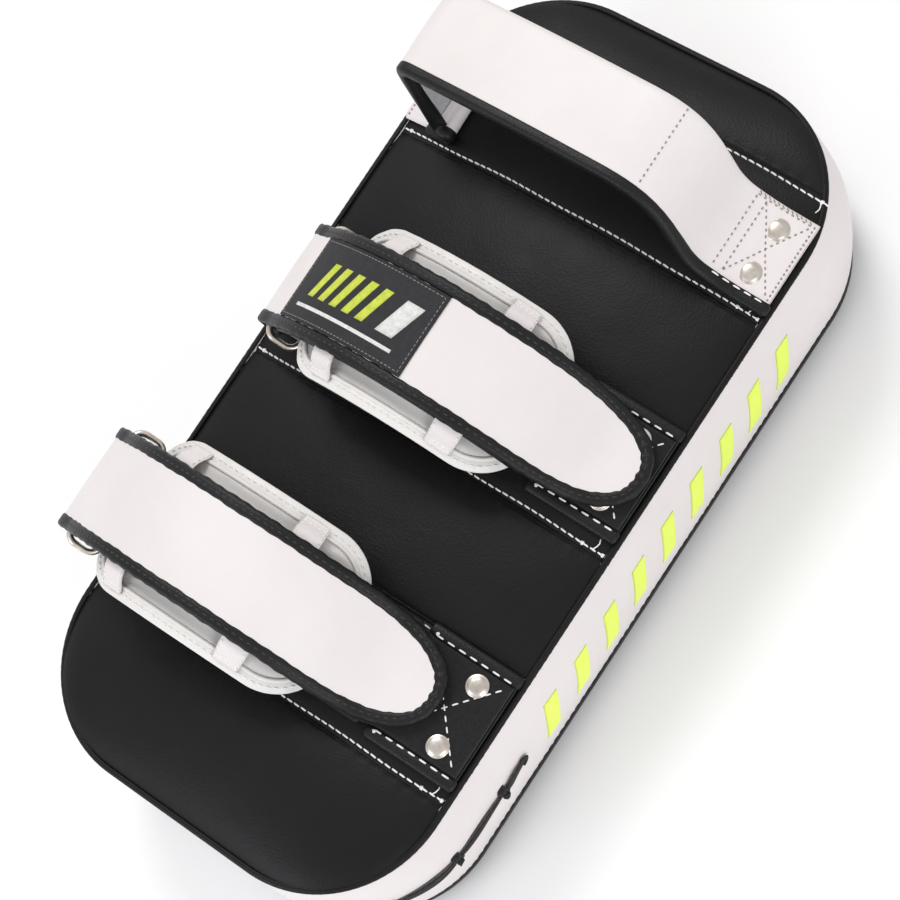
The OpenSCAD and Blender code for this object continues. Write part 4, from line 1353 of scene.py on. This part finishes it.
def cushion(strap, shape):
    """Two stitched layers: a flat rim, a raised bead, and a puffed middle pressed flat under the strap."""
    body = strap.name + "_cushion"
    points, faces = shape
    points = points.copy()
    x, y, z = points.T
    end = np.clip((CUSHION_X - RIM - 2 - np.abs(x)) / 20, 0, 1)
    ceiling = -1.7 - CUSHION_BASE + 1.5 * ease((np.abs(y) - 25.8) / 2.0)
    floor = -4.2 - 3.2 * end
    crease = 0.35 * ripple(x, y, 34, strap.y) + 0.25 * ripple(y, x, 19, strap.x)
    z = np.where(np.abs(z) > 1.8, z + crease, z)
    points[:, 2] = np.clip(z, floor, ceiling)
    made = piece(body + "_pad", [(under_strap(points, strap), faces)], VINYL, weld=0.05)
    smooth = made.modifiers.new("smooth", "SUBSURF")
    smooth.levels = smooth.render_levels = 1
    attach(made, body)
    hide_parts(strap.name + "_cushion_cover", strap.name + "_cushion_foam",
                strap.name + "_cushion_lining")
    cushion_rim(strap, body)


def edge_ring(inset, height):
    """The cushion's outline moved in by inset, at a height."""
    return np.concatenate([cushion_edge(inset, RIM_POINTS), np.full((RIM_POINTS, 1), height)], 1)


def cushion_rim(strap, body):
    """The sewn rim, with a bead and a row of stitches on each side of it."""
    lift = 1.0
    profile = [(0.5, 0.8), (0.1, 0.45), (0.0, 0), (0.1, -0.45), (0.5, -0.8), (3.5, -0.75), (RIM + 1.5, -0.9),
               (RIM + 1.5, 0.9), (3.5, 0.75)]
    rings = [edge_ring(inset, lift + h) for inset, h in profile]
    wave = 0.12 * np.cos(np.arange(RIM_POINTS) * 2 * math.pi / 6.5)
    for ring in rings:
        ring[:, 2] += wave
    grid = under_strap(np.stack(rings), strap)
    faces = grid_faces(len(rings), RIM_POINTS, loop=True) + closing_faces(len(rings), RIM_POINTS)
    piece(body + "_rim", [(grid, faces)], VINYL, body)
    beads, rows = [], []
    for side in (1, -1):
        bead = edge_ring(RIM + 0.6, lift + side * 0.9)
        line = under_strap(bead, strap)
        up = under_strap(bead + [0, 0, side], strap) - line
        beads.append(tube(line, up, 1.0, 0.9, loop=True, sides=10))
        row = edge_ring(2.6, lift + side * 0.95)
        row = np.concatenate([row, row[:1]])
        line = under_strap(row, strap)
        rows.append(stitches(line, under_strap(row + [0, 0, side], strap) - line, 3.4, 2.3, 0.3))
    piece(body + "_bead", beads, VINYL, body)
    piece(body + "_rim_stitches", rows, WHITE_THREAD, body)


# ---- carried-over CAD nodes ----

def finish_cad_nodes():
    """Materials for the CAD nodes that stay: the firm foam and the two rings."""
    set_material(frame["nodes"]["firm_core_foam"], FOAM)
    for name in ("upper_ring", "lower_ring"):
        set_material(frame["nodes"][name], NICKEL)
        for polygon in frame["nodes"][name].data.polygons:
            polygon.use_smooth = True


def set_material(node, material):
    node.data.materials.clear()
    node.data.materials.append(material)


# ---- camera, floor and light ----

def camera():
    """The camera at the photograph's viewing angle."""
    data = bpy.data.cameras.new("camera")
    data.lens = CAMERA_LENS
    data.sensor_width = 36.0
    data.clip_end = 20
    cam = bpy.data.objects.new("camera", data)
    look = unit(CAMERA_LOOK)
    down = np.array(CAMERA_DOWN)
    down = unit(down - look * float(down @ look))
    right = np.cross(down, look)
    turn = Matrix(np.stack([right, -down, -look], 1).tolist()).to_4x4()
    cam.matrix_world = Matrix.Translation(CAMERA_PLACE) @ turn
    scene.collection.objects.link(cam)
    scene.camera = cam


def area_light(name, place, target, size, power, color):
    data = bpy.data.lights.new(name, "AREA")
    data.shape = "DISK"
    data.size, data.energy, data.color = size, power, color
    lamp = bpy.data.objects.new(name, data)
    lamp.location = place
    lamp.rotation_mode = "QUATERNION"
    lamp.rotation_quaternion = (Vector(target) - Vector(place)).to_track_quat("-Z", "Y")
    scene.collection.objects.link(lamp)


def studio():
    """A white surround, three soft lights and a plain pale floor."""
    world = bpy.data.worlds.new("studio")
    scene.world = world
    world.use_nodes = True
    world.node_tree.nodes["Background"].inputs["Color"].default_value = (1.0, 1.0, 1.0, 1)
    world.node_tree.nodes["Background"].inputs["Strength"].default_value = 0.7
    area_light("key", (-0.9, 0.9, 1.9), (0, 0, 0.05), 0.9, 17, (1.0, 0.99, 0.98))
    area_light("side", (1.5, -0.6, 0.9), (0, 0, 0.05), 1.0, 9, (0.96, 0.97, 1.0))
    area_light("end", (-0.4, -1.7, 1.1), (0, 0, 0.05), 0.9, 9, (0.9, 0.94, 1.0))
    mesh = bpy.data.meshes.new("floor")
    size = 6.0
    corners = [(-size, -size, 0), (size, -size, 0), (size, size, 0), (-size, size, 0)]
    mesh.from_pydata(corners, [], [(0, 1, 2, 3)])
    floor = bpy.data.objects.new("floor", mesh)
    floor.location.z = -0.0004
    material, nodes, links, shader, place = new_material("floor", (0.93, 0.93, 0.93), 0.8)
    vary_color(nodes, links, shader, place, (0.92, 0.92, 0.92), (0.94, 0.94, 0.94), 3.0)
    mesh.materials.append(material)
    scene.collection.objects.link(floor)
    scene.view_settings.view_transform = "Standard"


# ---- build ----

camera()
studio()
finish_cad_nodes()
back_filling()
pad_back()
back_stitching()
side_wall()
seam_welt()
striking_cover()
wall_marks()
lacing()
handle()
cushion_mesh = cushion_shape()
for made_strap in (Strap("upper", 97.0), Strap("lower", 76.0)):
    outer_strap(made_strap)
    strap_fold(made_strap)
    inner_strap(made_strap)
    anchor_tab(made_strap)
    strap_rivets(made_strap)
    cushion(made_strap, cushion_mesh)
    keepers(made_strap)
    if made_strap.name == "upper":
        label(made_strap)
